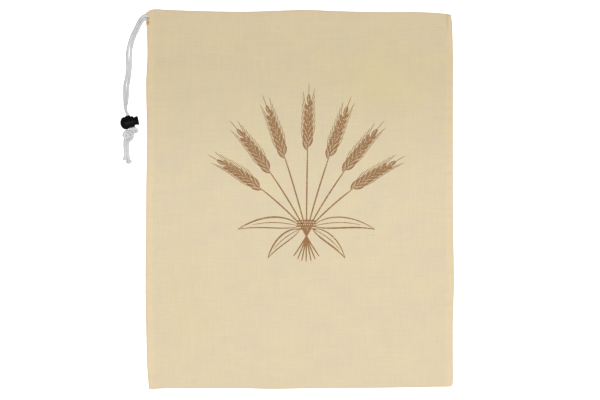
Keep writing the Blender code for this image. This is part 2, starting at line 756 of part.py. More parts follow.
def make_lock(collection, cutters, material):
    frame = lock_frame(collection)
    barrel_rows = [(0.0, BORE_END), (BORE_RADIUS, BORE_END), (BORE_RADIUS, BARREL_MOUTH - BARREL_RIM)]
    barrel_rows += [(BORE_RADIUS + BARREL_RIM, BARREL_MOUTH), *BARREL_SKIN]
    barrel = turned("lock_barrel", barrel_rows, collection, material)

    button_rows = [(0.0, HEAD_TO - DISH_DEPTH), (DISH_RADIUS, HEAD_TO - DISH_DEPTH)]
    button_rows += [(DISH_RIM_RADIUS, HEAD_TO)]
    button_rows += arc_rows(HEAD_RADIUS - HEAD_LIP, HEAD_TO - HEAD_LIP, HEAD_LIP, 90.0, -20.0, 4)
    button_rows += [(NECK_RADIUS, HEAD_FROM), (NECK_RADIUS, NECK_FROM), (SHAFT_RADIUS, SHAFT_TOP)]
    button_rows += [(SHAFT_RADIUS, SHAFT_END + SHAFT_CHAMFER), (SHAFT_RADIUS - SHAFT_CHAMFER, SHAFT_END)]
    button_rows += [(0.0, SHAFT_END)]
    button = turned("lock_button", button_rows, collection, material)

    grip = HOLE_ALONG + CORD_RADIUS + HOLE_CLEARANCE
    barrel_hole = cross_cutter("barrel_hole_cutter", grip - BARREL_HOLE_LENGTH, grip, HOLE_HALF_HEIGHT,
                               BARREL_HOLE_CORNER, cutters)
    button_hole = cross_cutter("button_hole_cutter", HOLE_ALONG - CORD_RADIUS - HOLE_CLEARANCE,
                               grip + PRESS_TRAVEL, HOLE_HALF_HEIGHT, BUTTON_HOLE_CORNER, cutters)
    for mouth, reach in COLLAR_REACH.items():
        collar = hole_collar(mouth + "_collar", reach, grip - BARREL_HOLE_LENGTH, grip, cutters)
        combine(barrel, collar, "UNION")
        collar.parent = frame
    for item, cutter in ((barrel, barrel_hole), (button, button_hole)):
        combine(item, cutter)
        item.parent = frame
        cutter.parent = frame


def main():
    clear_scene()
    collection = new_collection("bread_bag")
    cutters = new_collection("bread_bag_cutters")
    calico = new_material("calico", CALICO_COLOUR, 0.92)
    braid = new_material("drawcord", CORD_COLOUR, 0.85)
    plastic = new_material("lock_plastic", LOCK_COLOUR, 0.38)
    make_cloth(collection, cutters, calico)
    make_casing_cord(collection, braid)
    make_strands(collection, braid)
    make_lock(collection, cutters, plastic)
    make_knot(collection, cutters, braid)
    make_tails(collection, braid)


main()
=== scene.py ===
# Calico bread bag with its drawcord and cord lock, laid flat and lit as in a studio photograph.
# Metres. +X is the bag's right, +Y runs to its mouth, +Z is up.

import math

import bmesh
import bpy
import numpy as np
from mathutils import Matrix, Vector


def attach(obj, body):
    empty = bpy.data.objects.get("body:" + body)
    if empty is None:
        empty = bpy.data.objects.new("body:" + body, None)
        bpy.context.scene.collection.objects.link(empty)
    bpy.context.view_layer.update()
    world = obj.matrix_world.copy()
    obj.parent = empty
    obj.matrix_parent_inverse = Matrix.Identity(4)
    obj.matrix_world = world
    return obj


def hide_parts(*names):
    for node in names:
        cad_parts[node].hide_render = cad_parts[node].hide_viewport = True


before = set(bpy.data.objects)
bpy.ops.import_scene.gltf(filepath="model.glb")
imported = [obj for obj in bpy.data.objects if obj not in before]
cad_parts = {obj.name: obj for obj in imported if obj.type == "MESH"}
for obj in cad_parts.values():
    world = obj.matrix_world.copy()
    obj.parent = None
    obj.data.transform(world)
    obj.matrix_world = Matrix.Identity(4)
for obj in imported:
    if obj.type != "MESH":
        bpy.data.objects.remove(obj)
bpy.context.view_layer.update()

MM = 0.001


def in_metres(*rows, plain=None):
    """A table written in millimetres, whose plain column, if it has one, stays as it is."""
    return tuple(tuple(value if column == plain else value * MM for column, value in enumerate(row))
                 for row in rows)


# Camera
IMAGE_WIDTH = 600
PIXEL = 1.19 * MM
VIEW_CENTRE = (0.31 * MM, -0.9 * MM)
CAMERA_HEIGHT = 12.0
SENSOR = 36.0

# Bag, flat size and layers, as in the solid model
BAG_WIDTH = 365 * MM
BAG_TOP = 224 * MM
BAG_BOTTOM = -225 * MM
PANEL = 1 * MM
HEM_THICK = 2.2 * MM
HEM_LINE = 202 * MM
HEM_STEP = 1.5 * MM
SEAM_BAND = 7 * MM
FOLD_BAND = 2.4 * MM
LAYER_GAP = 0.4 * MM
EDGE_DROP = 0.7 * MM
EDGE_REACH = 1.5 * MM
FOLD_TAPER = 12 * MM
LIFT_BLEND = 0.5 * MM
OVERSHOOT = 8 * MM

# How far each long edge lies outside half the width, by height
LONG_EDGES = in_metres(
    # y, left, right
    (-223.4, -2.8, -1.9),
    (-219, -2.45, -0.2),
    (-199.3, -0.9, -0.1),
    (-149.3, 0.4, -0.1),
    (-99.3, 1.2, 1.2),
    (-27.9, 0.5, 0.2),
    (14.9, 0.2, 0),
    (79.2, -0.7, -0.1),
    (136.3, 0.4, 0),
    (172, -1.1, 0),
    (207.7, -0.4, -1),
    (217.2, -0.4, -2.1),
)

# How far the left edge steps in at the slot for the cord and at the corner above it; where
# the value is negative, the edge stands out
SLOT_NOTCH = in_metres(
    # y, inwards
    (204, 0),
    (208, -0.6),
    (211.2, -0.9),
    (212.8, 0.4),
    (214.5, 2.6),
    (217.5, 3.2),
    (219.6, 0.8),
    (221.2, -1.3),
    (222.6, 0.4),
    (224.6, 3.8),
)

# How far the mouth's edge and the bottom fold lie outside BAG_TOP and BAG_BOTTOM, across the bag
SHORT_EDGES = in_metres(
    # x, mouth, bottom
    (-181.1, 0.1, 1),
    (-172.8, 2, 1),
    (-156.1, 1.3, 0.1),
    (-127.6, 0.1, 0.1),
    (-70.4, -1.1, 0.1),
    (-34.7, -0.2, 0.9),
    (8.1, 1.1, 0.3),
    (43.8, -0.3, -0.1),
    (86.6, -1.3, -0.3),
    (136.6, -1.3, -1),
    (158, -2.1, -1.5),
    (175.9, -3.6, -1.7),
    (178.7, -4.3, -1.9),
    (180.6, -5.6, -2.6),
)

# Height of the front panel's outer face at the side seams, and its rise in the middle, along the bag
CROWN = in_metres(
    # y, seam height, rise
    (-227, 2.4, 0),
    (-208, 3, 1.4),
    (-172, 3, 4.4),
    (-105, 3, 6.2),
    (0, 3, 6.6),
    (105, 3, 6.5),
    (172, 3.3, 7),
    (200, 4.7, 8.3),
    (227, 4.8, 9.3),
)

# Soft ridges and troughs that lie in the front panel
FOLDS = in_metres(
    # x, y, turn in degrees, half length, half width, height
    (-150, 182, -4, 60, 9, 0.6),
    (-140, 168, 3, 70, 8, -0.5),
    (-60, 176, 5, 55, 9, 0.5),
    (70, 180, -3, 70, 10, 0.5),
    (60, 155, 2, 80, 12, -0.5),
    (-155, 128, 6, 45, 9, -0.5),
    (150, 86, -5, 50, 9, 0.7),
    (155, 46, 4, 45, 8, 0.6),
    (-150, 70, -8, 50, 12, 0.5),
    (-152, -20, 7, 40, 12, 0.5),
    (148, -94, 3, 55, 8, 0.7),
    (120, -35, -12, 60, 12, -0.5),
    (10, -110, 2, 120, 16, 0.5),
    (-120, -150, -10, 60, 14, 0.5),
    (60, -178, 5, 80, 10, -0.4),
    plain=2,
)

# Cloth detail beyond the solid model
CLOTH_THICK = 0.55 * MM
SEAM_VALLEY = 0.35 * MM
SEAM_VALLEY_HALF = 1.3 * MM
ALLOWANCE_STEP = 0.28 * MM
ALLOWANCE_FROM = SEAM_BAND - 0.8 * MM
ALLOWANCE_TO = SEAM_BAND + 1 * MM
RIM_ROUND = 0.7 * MM
RIM_REACH = 2.4 * MM
UNDER_ROUND = 0.8 * MM
CASING_RISE_FROM = 184 * MM
GRID_STEP = 1.9 * MM
EDGE_COLUMNS_MM = (0.0, 0.3, 0.8, 1.5, 2.4, 3.6, 5.0, 6.2, 7.0, 7.8, 9.0)
ROW_COUNTS = (6, 214, 8, 4, 14, 7)
HEM_FINE = 2.4 * MM
SETTLE_ROUNDS = 3
POCKET_COLUMNS = 60
POCKET_ROWS = 80
RIM_START = 5 * MM
RIM_STEPS = (-3.4 * MM, -2.4 * MM, -1.5 * MM, -0.8 * MM, -0.3 * MM, 0.0)
CLOTH_SHARP_ANGLE = 50.0
FLAT_WITHIN = 1e-7
RIPPLES = in_metres(
    # wave length across, wave length along, height
    (95, 42, 0.3),
    (38, 17, 0.09),
    (17, 8, 0.03),
)
RIPPLE_MARGIN = 8 * MM
RIPPLE_SEED = 11
PUCKER_WAVE = 8 * MM
PUCKER_HEIGHT = 0.14 * MM
PUCKER_REACH = 11 * MM
PUCKER_SEEDS = (21, 22)
HEM_PUCKER_SHARE = 0.7

# Cord, and the two lanes in which it runs through the casing
CORD_RADIUS = 1.75 * MM
FACE_GAP = 0.3 * MM
LANE_RADIUS = 2 * MM
LANE_WALL = 0.8 * MM
LANE_HALF_BUMP = 3.2 * MM
LANE_SIDES = 14
LANES = in_metres(
    # x, front lane y, back lane y
    (-182.5, 218.4, 213.7),
    (-120, 218, 212),
    (0, 217.6, 209.4),
    (120, 216.9, 207.8),
    (168, 216.6, 207.4),
)
TURN_CENTRE_X = 168 * MM
TURN_ROOM = 8 * MM
CASING_CORD_END = -178 * MM
LANE_STEPS = 34
TURN_STEPS = 8
SLOT_MOUTH = 10 * MM
SLOT_THICK = 3.4 * MM

# Braid: two sets of yarns that cross round the cord
BRAID_YARNS = 8
BRAID_PITCH = 1.05 * MM
BRAID_RELIEF = 0.08 * MM
BRAID_BLEND = 0.25
BRAID_SIDES = 32
BRAID_STEP = 0.3 * MM
HIDDEN_SIDES = 16
HIDDEN_STEP = 1 * MM
REST = 0.04 * MM

# Cord lock
LOCK_CENTRE = Vector((-203.7 * MM, 91.25 * MM, 7.65 * MM))
LOCK_TILT = math.radians(12.5)
HOLE_ALONG = 1 * MM
STACK_HALF = 1.8 * MM
LOCK_ENTRY = -10 * MM
LOCK_INSIDE = -8 * MM
LOCK_EXIT = 6.9 * MM

# Middle line of the two free strands from outside the casing's slot to the lock
STRAND_ROUTE = in_metres(
    # x, y, z, half of their distance, turn in degrees (0 side by side, 90 the front strand on top)
    (-188.6, 212.7, 3.1, 1.9, 28),
    (-191.4, 207.9, 2.15, 1.8, 10),
    (-194.8, 200.8, 1.66, 1.8, 0),
    (-198.3, 193.6, 1.66, 1.8, 0),
    (-200.7, 186.3, 1.66, 1.85, 0),
    (-202.4, 179.1, 1.66, 2, 0),
    (-203, 172, 1.66, 2.15, 0),
    (-203.1, 164.9, 1.66, 1.9, 0),
    (-203.1, 157.7, 1.66, 1.8, 0),
    (-203.7, 150.6, 1.66, 1.8, 0),
    (-204.6, 143.4, 1.66, 1.85, 0),
    (-206.1, 136.3, 1.66, 2.05, 0),
    (-206.6, 129.2, 1.66, 1.85, 0),
    (-206.7, 122, 2, 1.8, 10),
    (-206.9, 114.9, 3.3, 1.8, 48),
    (-207.3, 109.9, 5.2, 1.8, 82),
    (-206.5, 105, 7, 1.8, 90),
    plain=4,
)
SLOT_RUN = in_metres(
    # x, how far the front and the back strand move towards each other from their lanes
    (-178.3, 0.1, 0.4),
    (-181, 0.2, 0.7),
    (-184.6, 0.2, 0.7),
)
STRAND_SWELL = in_metres(
    # length along, scale of the cord's radius
    (0, 1.12),
    (9, 1.12),
    (16, 1),
    (150, 1),
    plain=1,
)

# Knot below the lock, as the line of each of the two strands, from the lock to the tails
KNOT_UPPER_STRAND = in_metres(
    # x, y, z
    (-200.7, 83, 9.45),
    (-198.4, 84, 9.3),
    (-196, 84.1, 8.5),
    (-193.8, 82.4, 6.7),
    (-194, 80.8, 4.6),
    (-196.9, 80.1, 3),
    (-201.2, 78.9, 2.7),
    (-205.9, 78, 3.3),
    (-209.2, 75.6, 4.6),
    (-208.2, 78.6, 6.6),
    (-204.9, 80.9, 8.3),
    (-201.6, 79.4, 9.2),
    (-199, 76.4, 8.9),
    (-199.5, 72.9, 6.5),
    (-201.4, 70.9, 4.4),
    (-203.7, 70.2, 2.9),
    (-204.6, 67.5, 1.9),
)
KNOT_LOWER_STRAND = in_metres(
    (-200.3, 82.3, 5.9),
    (-197.4, 80.9, 6),
    (-199, 77.2, 6),
    (-202, 74.6, 5.4),
    (-205.3, 74, 4.8),
    (-207.5, 71.8, 3.6),
    (-207.9, 67.5, 1.9),
)

# Tails on the surface below the knot
TAIL_Z = 1.66 * MM
LEFT_TAIL = in_metres(
    # x, y
    (-208.1, 62.5),
    (-207.5, 56.5),
    (-207.1, 52),
    (-207.9, 49.3),
    (-208.3, 46),
)
RIGHT_TAIL = in_metres(
    (-204.9, 62.5),
    (-204.4, 56.5),
    (-204, 51.5),
    (-203.9, 49),
    (-203.6, 46.8),
)

# Scale of the cord's radius along each strand of the knot and its tail
KNOT_SWELLS = (
    in_metres(
        # length along, scale
        (0, 1),
        (5, 1.06),
        (48, 1.06),
        (57, 1.2),
        (64, 1.07),
        (74, 1.07),
        (77, 1.15),
        (80, 1.15),
        plain=1,
    ),
    in_metres(
        (0, 1),
        (5, 1.06),
        (18, 1.06),
        (24, 1.15),
        (31, 1.07),
        (41, 1.07),
        (43.5, 1.25),
        (47, 1.28),
        plain=1,
    ),
)

# Frayed end of the right tail
FRAY_YARNS = 30
FRAY_SPREAD = 50.0
FRAY_LENGTH = 5.8 * MM
FRAY_SHORTER = 0.42
FRAY_LENGTH_SHARES = (0.8, 1.0)
FRAY_RADIUS = 0.32 * MM
FRAY_START_HEIGHTS = (0.3, 1.6)
FRAY_INSIDE = 0.4
FRAY_WANDER_MM = 0.3
FRAY_DROP = 0.4
FRAY_TIP_LIFT = 0.1 * MM
FRAY_SEED = 9

# Tack that locks the side seam's end below the slot
TACK_CENTRE = (-180.3 * MM, 210 * MM)
TACK_THREADS = 7
TACK_HEIGHT = 4 * MM
TACK_WIDTH = 3.2 * MM
TACK_WIDTH_SHARES = (0.85, 1.1)
TACK_TURN = 12.0
TACK_THICKER = 1.6
TACK_SEED = 6

# Hem stitches
STITCH_PITCH = 3 * MM
STITCH_LENGTH = 2.5 * MM
STITCH_RADIUS = 0.19 * MM
STITCH_POINTS = 7
STITCH_RISE = 0.5
STITCH_SINK = 0.22 * MM
STITCH_WANDER_MM = 0.12
STITCH_TURN = 2.0
STITCH_SEED = 5
THREAD_SIDES = 6
THREAD_THINNING = 0.45

# Printed sheaf of wheat
INK_HEIGHT = 0.1 * MM
INK_SINK = 0.2 * MM
INK_LEVELS = 23
INK_LEVEL_STEP = 0.004 * MM
INK_SHARP_ANGLE = 40.0

# Its drawing, in millimetres and degrees
TIE_X = 8.0
TIE_Y = -30.0
STALKS = (
    # heading from straight up in degrees, turn over its length, stem length, ear length, place at the tie
    (-43, -17, 62, 52, -7.5),
    (-28.5, -11, 72, 54, -5),
    (-14.5, -6, 82, 55, -2.5),
    (0.5, 1, 88, 55, 0),
    (15, 6, 81, 55, 2.5),
    (29, 11, 73, 54, 5),
    (43.5, 17, 61, 52, 7.5),
)
BLADES = (
    # place beside the tie, place below it, heading, turn over its length, length, half width
    (9, 2, 74, 38, 74, 6.5),
    (8, 6, 112, 40, 52, 5),
)
TIE_BANDS = 4
TIE_PITCH = 3.2
TIE_WIDTH = 24.0
TIE_ARCH = 12.0
ROOT_LENGTH = 44.0
ROOT_SPREAD = 0.62
GRAIN_LENGTH = 13.5
GRAIN_SHORTER = 0.35
GRAIN_LEAN = 24.0
GRAIN_BULGE = 30.0
TOP_GRAIN_LENGTH = 12.0
AWN_LENGTH = 15.0
AWN_LEAN = 16.0
EAR_POINTS = 15
BLADE_POINTS = 26
MIDRIB_POINTS = 20

# Widths of its strokes
STALK_LINE = 1.7
TIE_LINE = 2.2
SPINE_LINE = 1.1
BOLD_GRAIN_LINE = 1.9
FINE_GRAIN_LINE = 1.3
CREASE_LINE = 0.9
AWN_LINE = 0.75
BOLD_BLADE_LINE = 2.0
FINE_BLADE_LINE = 1.4
MIDRIB_LINE = 1.0

# Painted shade: the calico is darker and a little yellower towards the mouth, where less light falls, by
# these shares of red, green and blue
MOUTH_SHADE_FROM = -20 * MM
MOUTH_SHADE_TO = 185 * MM
MOUTH_SHADE = (0.892, 0.882, 0.845)

# Soft patches in which the undyed calico is yellower
YELLOW_PATCHES = in_metres(
    # x, y, half width, half height, share
    (95, 140, 85, 60, 0.5),
    (-132, -130, 50, 90, 0.4),
    plain=4,
)

# The calico is a little rosier towards the bottom fold
ROSE_FROM = -40 * MM
ROSE_TO = -190 * MM
ROSE_SHARE = 0.25

# Threads, flecks and seam allowances of the calico
WARP_PITCH = 0.42 * MM
WEFT_PITCH = 0.46 * MM
THREADS_FINE = 1500.0
INK_FINE = 900.0
SLUBS_FINE = 420.0
STREAK_SHARE = 0.035
SEAM_FADE = 3.4 * MM
SEAM_WANDER = 4 * MM
FLECK_CELLS = 115.0
FLECK_CHOSEN = 0.14
FLECK_STRENGTH = 0.55

# Colours in sRGB
CALICO = (232, 216, 179)
CALICO_WARM = (239, 217, 179)
CALICO_ROSE = (234, 213, 180)
CALICO_GREY = (228, 213, 181)
CALICO_YELLOW = (232, 216, 171)
FLECK = (150, 118, 80)
INK = (158, 116, 76)
CORD = (219, 219, 218)
CORD_ENDS = (227, 227, 226)
THREAD = (240, 226, 196)
TACK = (222, 170, 104)
PLASTIC = (7, 7, 8)
FLOOR = (250, 250, 250)

# Floor and light
WHITE = (1.0, 1.0, 1.0, 1.0)
FLOOR_HALF = 8.0
FLOOR_DROP = 0.1 * MM
FLOOR_GLOW = 0.9
ROOM_LIGHT = 0.41
LAMP_PLACE = (0.32, -0.44, 3.6)
LAMP_SIZE = 1.8
LAMP_POWER = 80.5


# Curves and small sums

def mix(low, high, share):
    return low + (high - low) * share


def ramp(value, low, high):
    share = np.clip((value - low) / (high - low), 0.0, 1.0)
    return share * share * (3.0 - 2.0 * share)


def smooth_value(rows, at, column):
    """Smooth curve through one column of a table whose first column rises; level past its ends."""
    table = np.array(rows)
    places, values = table[:, 0], table[:, column]
    order = np.arange(len(places))
    before = np.maximum(order - 1, 0)
    after = np.minimum(order + 1, len(places) - 1)
    slopes = (values[after] - values[before]) / (places[after] - places[before])
    at = np.clip(at, places[0], places[-1])
    index = np.clip(np.searchsorted(places, at, side="right") - 1, 0, len(places) - 2)
    span = places[index + 1] - places[index]
    t = (at - places[index]) / span
    start = (2 * t ** 3 - 3 * t ** 2 + 1) * values[index] + (t ** 3 - 2 * t ** 2 + t) * span * slopes[index]
    return (start + (3 * t ** 2 - 2 * t ** 3) * values[index + 1]
            + (t ** 3 - t ** 2) * span * slopes[index + 1])


def smooth_path(route, step):
    """Points at about one step along a smooth curve through a route's own points."""
    route = np.array(route)
    reach = np.concatenate([[0.0], np.cumsum(np.linalg.norm(np.diff(route, axis=0), axis=1))])
    rows = np.column_stack([reach, route])
    at = np.linspace(0.0, reach[-1], max(3, round(reach[-1] / step) + 1))
    return np.column_stack([smooth_value(rows, at, axis + 1) for axis in range(route.shape[1])])


def soft_noise(x, y, step_x, step_y, seed):
    """Smooth uneven values from -1 to 1 with the given wave lengths."""
    side = 128
    lattice = np.random.default_rng(seed).uniform(-1.0, 1.0, (side, side))
    u = np.asarray(x) / step_x + side / 2
    v = np.asarray(y) / step_y + side / 2
    column, row = np.floor(u).astype(int), np.floor(v).astype(int)
    share_u, share_v = ramp(u - column, 0.0, 1.0), ramp(v - row, 0.0, 1.0)
    here, there = column % side, (column + 1) % side
    low = mix(lattice[row % side, here], lattice[row % side, there], share_u)
    high = mix(lattice[(row + 1) % side, here], lattice[(row + 1) % side, there], share_u)
    return mix(low, high, share_v)


# The bag's outline and the heights of its panels

def left_seam(y):
    return -BAG_WIDTH / 2 - smooth_value(LONG_EDGES, y, 1)


def left_edge(y):
    return left_seam(y) + smooth_value(SLOT_NOTCH, y, 1)


def right_edge(y):
    return BAG_WIDTH / 2 + smooth_value(LONG_EDGES, y, 2)


def mouth_edge(x):
    return BAG_TOP + smooth_value(SHORT_EDGES, x, 1)


def bottom_edge(x):
    return BAG_BOTTOM - smooth_value(SHORT_EDGES, x, 2)


def front_lane(x):
    return smooth_value(LANES, x, 1)


def back_lane(x):
    return smooth_value(LANES, x, 2)


def pocket_left(y):
    return left_seam(y) + SEAM_BAND


def pocket_right(y):
    return right_edge(y) - SEAM_BAND - TURN_ROOM * ramp(y, HEM_LINE - 4 * HEM_STEP, HEM_LINE)


def hem_share(y):
    return np.clip((y - HEM_LINE) / HEM_STEP, 0.0, 1.0)


def lane_bump(distance):
    return (2 * (LANE_WALL + LANE_RADIUS) - HEM_THICK) * np.exp(-(distance / LANE_HALF_BUMP) ** 4)


def panel_thickness(y):
    return mix(PANEL, HEM_THICK, hem_share(y))


def back_panel_top(x, y):
    bump = np.where(x <= TURN_CENTRE_X, lane_bump(y - back_lane(x)), 0.0)
    return panel_thickness(y) + hem_share(y) * bump


def fold_height(x, y):
    total = 0.0
    for fold_x, fold_y, turn, half_length, half_width, height in FOLDS:
        angle = math.radians(turn)
        along = (x - fold_x) * math.cos(angle) + (y - fold_y) * math.sin(angle)
        across = (y - fold_y) * math.cos(angle) - (x - fold_x) * math.sin(angle)
        total = total + height * np.exp(-(along / half_length) ** 2 - (across / half_width) ** 2)
    return total


def front_panel_underside(x, y):
    low = pocket_left(y)
    high = pocket_right(y)
    across = np.clip((x - low) / (high - low), 0.0, 1.0) * 2.0 - 1.0
    crown = smooth_value(CROWN, y, 1) + smooth_value(CROWN, y, 2) * (1.0 - across * across)
    hanging = crown + fold_height(x, y) * ramp(HEM_LINE - y, 0.0, FOLD_TAPER) - panel_thickness(y)
    lowest = back_panel_top(x, y) + LAYER_GAP
    return (hanging + lowest + np.hypot(hanging - lowest, LIFT_BLEND)) / 2


def from_sides(x, y):
    return np.minimum(x - left_seam(y), right_edge(y) - x)


def from_outline(x, y):
    sides = np.minimum(x - left_edge(y), right_edge(y) - x)
    return np.minimum(sides, np.minimum(mouth_edge(x) - y, y - bottom_edge(x)))


def ripples(x, y):
    """Faint unevenness of the lying cloth, and puckers along its seams."""
    total = 0.0
    for number, (across, along, height) in enumerate(RIPPLES):
        total = total + height * soft_noise(x, y, across, along, RIPPLE_SEED + number)
    inner = ramp(from_outline(x, y), 0.0, RIPPLE_MARGIN)
    side = np.exp(-(from_sides(x, y) / PUCKER_REACH) ** 2)
    hem = np.exp(-((y - HEM_LINE) / PUCKER_REACH) ** 2)
    at_sides = soft_noise(x, y, 4 * PUCKER_WAVE, PUCKER_WAVE, PUCKER_SEEDS[0])
    at_hem = soft_noise(x, y, PUCKER_WAVE, 4 * PUCKER_WAVE, PUCKER_SEEDS[1])
    total = total * inner
    total = total + PUCKER_HEIGHT * side * at_sides
    return total + HEM_PUCKER_SHARE * PUCKER_HEIGHT * hem * at_hem


def casing_top(x):
    """Height of the casing's outer face over the front lane, and past the cord's turn beside it."""
    turn_radius = (front_lane(x) - back_lane(x)) / 2
    past = np.maximum(x - TURN_CENTRE_X - turn_radius, 0.0)
    return front_panel_underside(x, front_lane(x)) + HEM_THICK + lane_bump(past)


def front_skin(x, y):
    """Height of the front panel's outer face: it rises evenly to the casing and stays high to the rim."""
    low = front_panel_underside(x, y) + panel_thickness(y)
    rise = ramp(y, CASING_RISE_FROM, front_lane(x))
    missing = 1.0 - np.clip(from_outline(x, y) / EDGE_REACH, 0.0, 1.0)
    level = mix(low, np.maximum(casing_top(x), low), rise) - EDGE_DROP * missing ** 2 + ripples(x, y)
    level = level - SEAM_VALLEY * np.exp(-((y - HEM_LINE - HEM_STEP / 2) / SEAM_VALLEY_HALF) ** 2)
    allowance = ramp(from_sides(x, y), ALLOWANCE_FROM, ALLOWANCE_TO)
    return level - ALLOWANCE_STEP * allowance * ramp(HEM_LINE - y, 0.0, FOLD_TAPER)


def back_skin(x, y):
    """Height of the back panel's outer face: flat, with its rim turned up."""
    missing = 1.0 - np.clip(from_outline(x, y) / EDGE_REACH, 0.0, 1.0)
    return UNDER_ROUND * missing ** 2


# Meshes

def new_object(name, data):
    item = bpy.data.objects.new(name, data)
    bpy.context.scene.collection.objects.link(item)
    return item


def new_piece(mesh, material):
    """A smooth piece of the bag, named as its mesh is."""
    item = new_object(mesh.name, mesh)
    mesh.materials.append(material)
    mesh.shade_smooth()
    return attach(item, "bag")


def mesh_of(name, vertices, faces):
    mesh = bpy.data.meshes.new(name)
    mesh.from_pydata(np.asarray(vertices).tolist(), [], faces)
    mesh.validate()
    return mesh


def grid_faces(rows, columns, start=0, closed=False, turned=False):
    """Quads of a grid of vertices, counted row by row; closed joins the last column to the first."""
    faces = []
    for row in range(rows - 1):
        for column in range(columns if closed else columns - 1):
            following = (column + 1) % columns
            low, high = start + row * columns, start + (row + 1) * columns
            face = (low + column, low + following, high + following, high + column)
            faces.append(face[::-1] if turned else face)
    return faces


def capped_faces(rings, sides, start=0, turned=False):
    """Faces of a closed tube of rings, with one face over each end."""
    last = start + (rings - 1) * sides
    caps = [tuple(range(start, start + sides))[::-1], tuple(range(last, last + sides))]
    if turned:
        caps = [cap[::-1] for cap in caps]
    return grid_faces(rings, sides, start, closed=True, turned=turned) + caps


def closed_sheet(name, x, y, low, high):
    """A closed sheet between two height fields over one grid of places."""
    rows, columns = x.shape
    count = rows * columns
    top = np.stack([x, y, high], axis=-1).reshape(-1, 3)
    under = np.stack([x, y, low], axis=-1).reshape(-1, 3)
    faces = grid_faces(rows, columns) + grid_faces(rows, columns, count, turned=True)
    order = np.arange(count).reshape(rows, columns)
    sides = [order[0], order[1:, -1], order[-1, -2::-1], order[-2:0:-1, 0]]
    rim = np.concatenate(sides).tolist()
    for here, there in zip(rim, rim[1:] + rim[:1]):
        faces.append((there, here, here + count, there + count))
    return mesh_of(name, np.concatenate([top, under]), faces)


def row_places(x):
    """Heights of the outer grid's rows where they cross x, which has one line of places for each row."""
    stops = [bottom_edge(x), bottom_edge(x) + 2 * FOLD_BAND,
             np.full_like(x, HEM_LINE - HEM_FINE), np.full_like(x, HEM_LINE + HEM_FINE),
             back_lane(x) - LANE_HALF_BUMP, front_lane(x) + LANE_HALF_BUMP, mouth_edge(x)]
    lines = []
    for low, high, count in zip(stops, stops[1:], ROW_COUNTS):
        for i in range(count):
            lines.append(mix(low[len(lines)], high[len(lines)], i / count))
    lines.append(stops[-1][-1])
    return np.array(lines)


def outer_grid():
    edge = np.array(EDGE_COLUMNS_MM) * MM / BAG_WIDTH
    inner = np.linspace(edge[-1], 1.0 - edge[-1], round((BAG_WIDTH - 2 * edge[-1]) / GRID_STEP))
    shares = np.concatenate([edge[:-1], inner, 1.0 - edge[-2::-1]])
    share = np.tile(shares, (sum(ROW_COUNTS) + 1, 1))
    x = mix(-BAG_WIDTH / 2, BAG_WIDTH / 2, share)
    for _ in range(SETTLE_ROUNDS):
        y = row_places(x)
        x = mix(left_edge(y), right_edge(y), share)
    return x, y


def pocket_grid():
    """Places of the pocket between the panels, which runs out past the mouth."""
    rim_rows = len(RIM_STEPS) + 1
    share = np.tile(np.linspace(0.0, 1.0, POCKET_COLUMNS), (POCKET_ROWS, 1))
    up = np.linspace(0.0, 1.0, POCKET_ROWS - rim_rows, endpoint=False)
    x = mix(-BAG_WIDTH / 2, BAG_WIDTH / 2, share)
    for _ in range(SETTLE_ROUNDS):
        mouth = mouth_edge(x)
        body = mix(bottom_edge(x[:-rim_rows]) + FOLD_BAND, mouth[:-rim_rows] - RIM_START, up[:, None])
        rim = mouth[-rim_rows:-1] + np.array(RIM_STEPS)[:, None]
        y = np.concatenate([body, rim, mouth[-1:] + OVERSHOOT])
        x = mix(pocket_left(y), pocket_right(y), share)
    return x, y


def pocket_mesh():
    x, y = pocket_grid()
    inside_y = np.minimum(y, mouth_edge(x))
    near = 1.0 - np.clip((mouth_edge(x) - y) / RIM_REACH, 0.0, 1.0)
    hem = hem_share(inside_y)
    upper_body = front_skin(x, inside_y) - CLOTH_THICK
    upper = mix(upper_body, front_panel_underside(x, inside_y), hem) + RIM_ROUND * near ** 2
    lower = mix(CLOTH_THICK, back_panel_top(x, inside_y), hem) - RIM_ROUND * near ** 2
    return closed_sheet("pocket_cutter", x, y, lower, upper)


def lane_points(x):
    """Places of the front and the back lane's centre lines at one place across the bag."""
    seen = max(x, -BAG_WIDTH / 2)
    lane_height = LANE_WALL + LANE_RADIUS
    front_y, back_y = float(front_lane(seen)), float(back_lane(seen))
    front_z = float(front_panel_underside(seen, front_y)) + lane_height
    return Vector((x, front_y, front_z)), Vector((x, back_y, lane_height))


def casing_line():
    """The cord's line through the casing: front lane, turn at the right end, back lane."""
    places = [mix(CASING_CORD_END, TURN_CENTRE_X, i / LANE_STEPS) for i in range(LANE_STEPS + 1)]
    pairs = [lane_points(x) for x in places]
    start, stop = pairs[-1]
    radius = (start.y - stop.y) / 2
    turn = []
    for i in range(1, TURN_STEPS):
        angle = math.radians(90.0 - 180.0 * i / TURN_STEPS)
        share = (1.0 - math.sin(angle)) / 2
        turn.append(Vector((TURN_CENTRE_X + radius * math.cos(angle),
                            (start.y + stop.y) / 2 + radius * math.sin(angle),
                            mix(start.z, stop.z, share))))
    return [front for front, _ in pairs] + turn + [back for _, back in reversed(pairs)]


# Tubes and cord

def line_frames(points):
    """Two directions across a line at each of its points, carried along it without twist."""
    ahead = np.gradient(points, axis=0)
    ahead /= np.linalg.norm(ahead, axis=1)[:, None]
    across = np.empty_like(ahead)
    side = np.cross(ahead[0], (0.0, 0.0, 1.0))
    for index, direction in enumerate(ahead):
        side = side - direction * side.dot(direction)
        side = side / np.linalg.norm(side)
        across[index] = side
    return across, np.cross(ahead, across)


def tube_places(points, sides, radius):
    """Rings of places round a line, with a radius for each ring or for each place of it."""
    across, up = line_frames(points)
    angle = 2.0 * np.pi * np.arange(sides)[None, :, None] / sides
    ring = across[:, None] * np.cos(angle) + up[:, None] * np.sin(angle)
    return points[:, None] + ring * radius


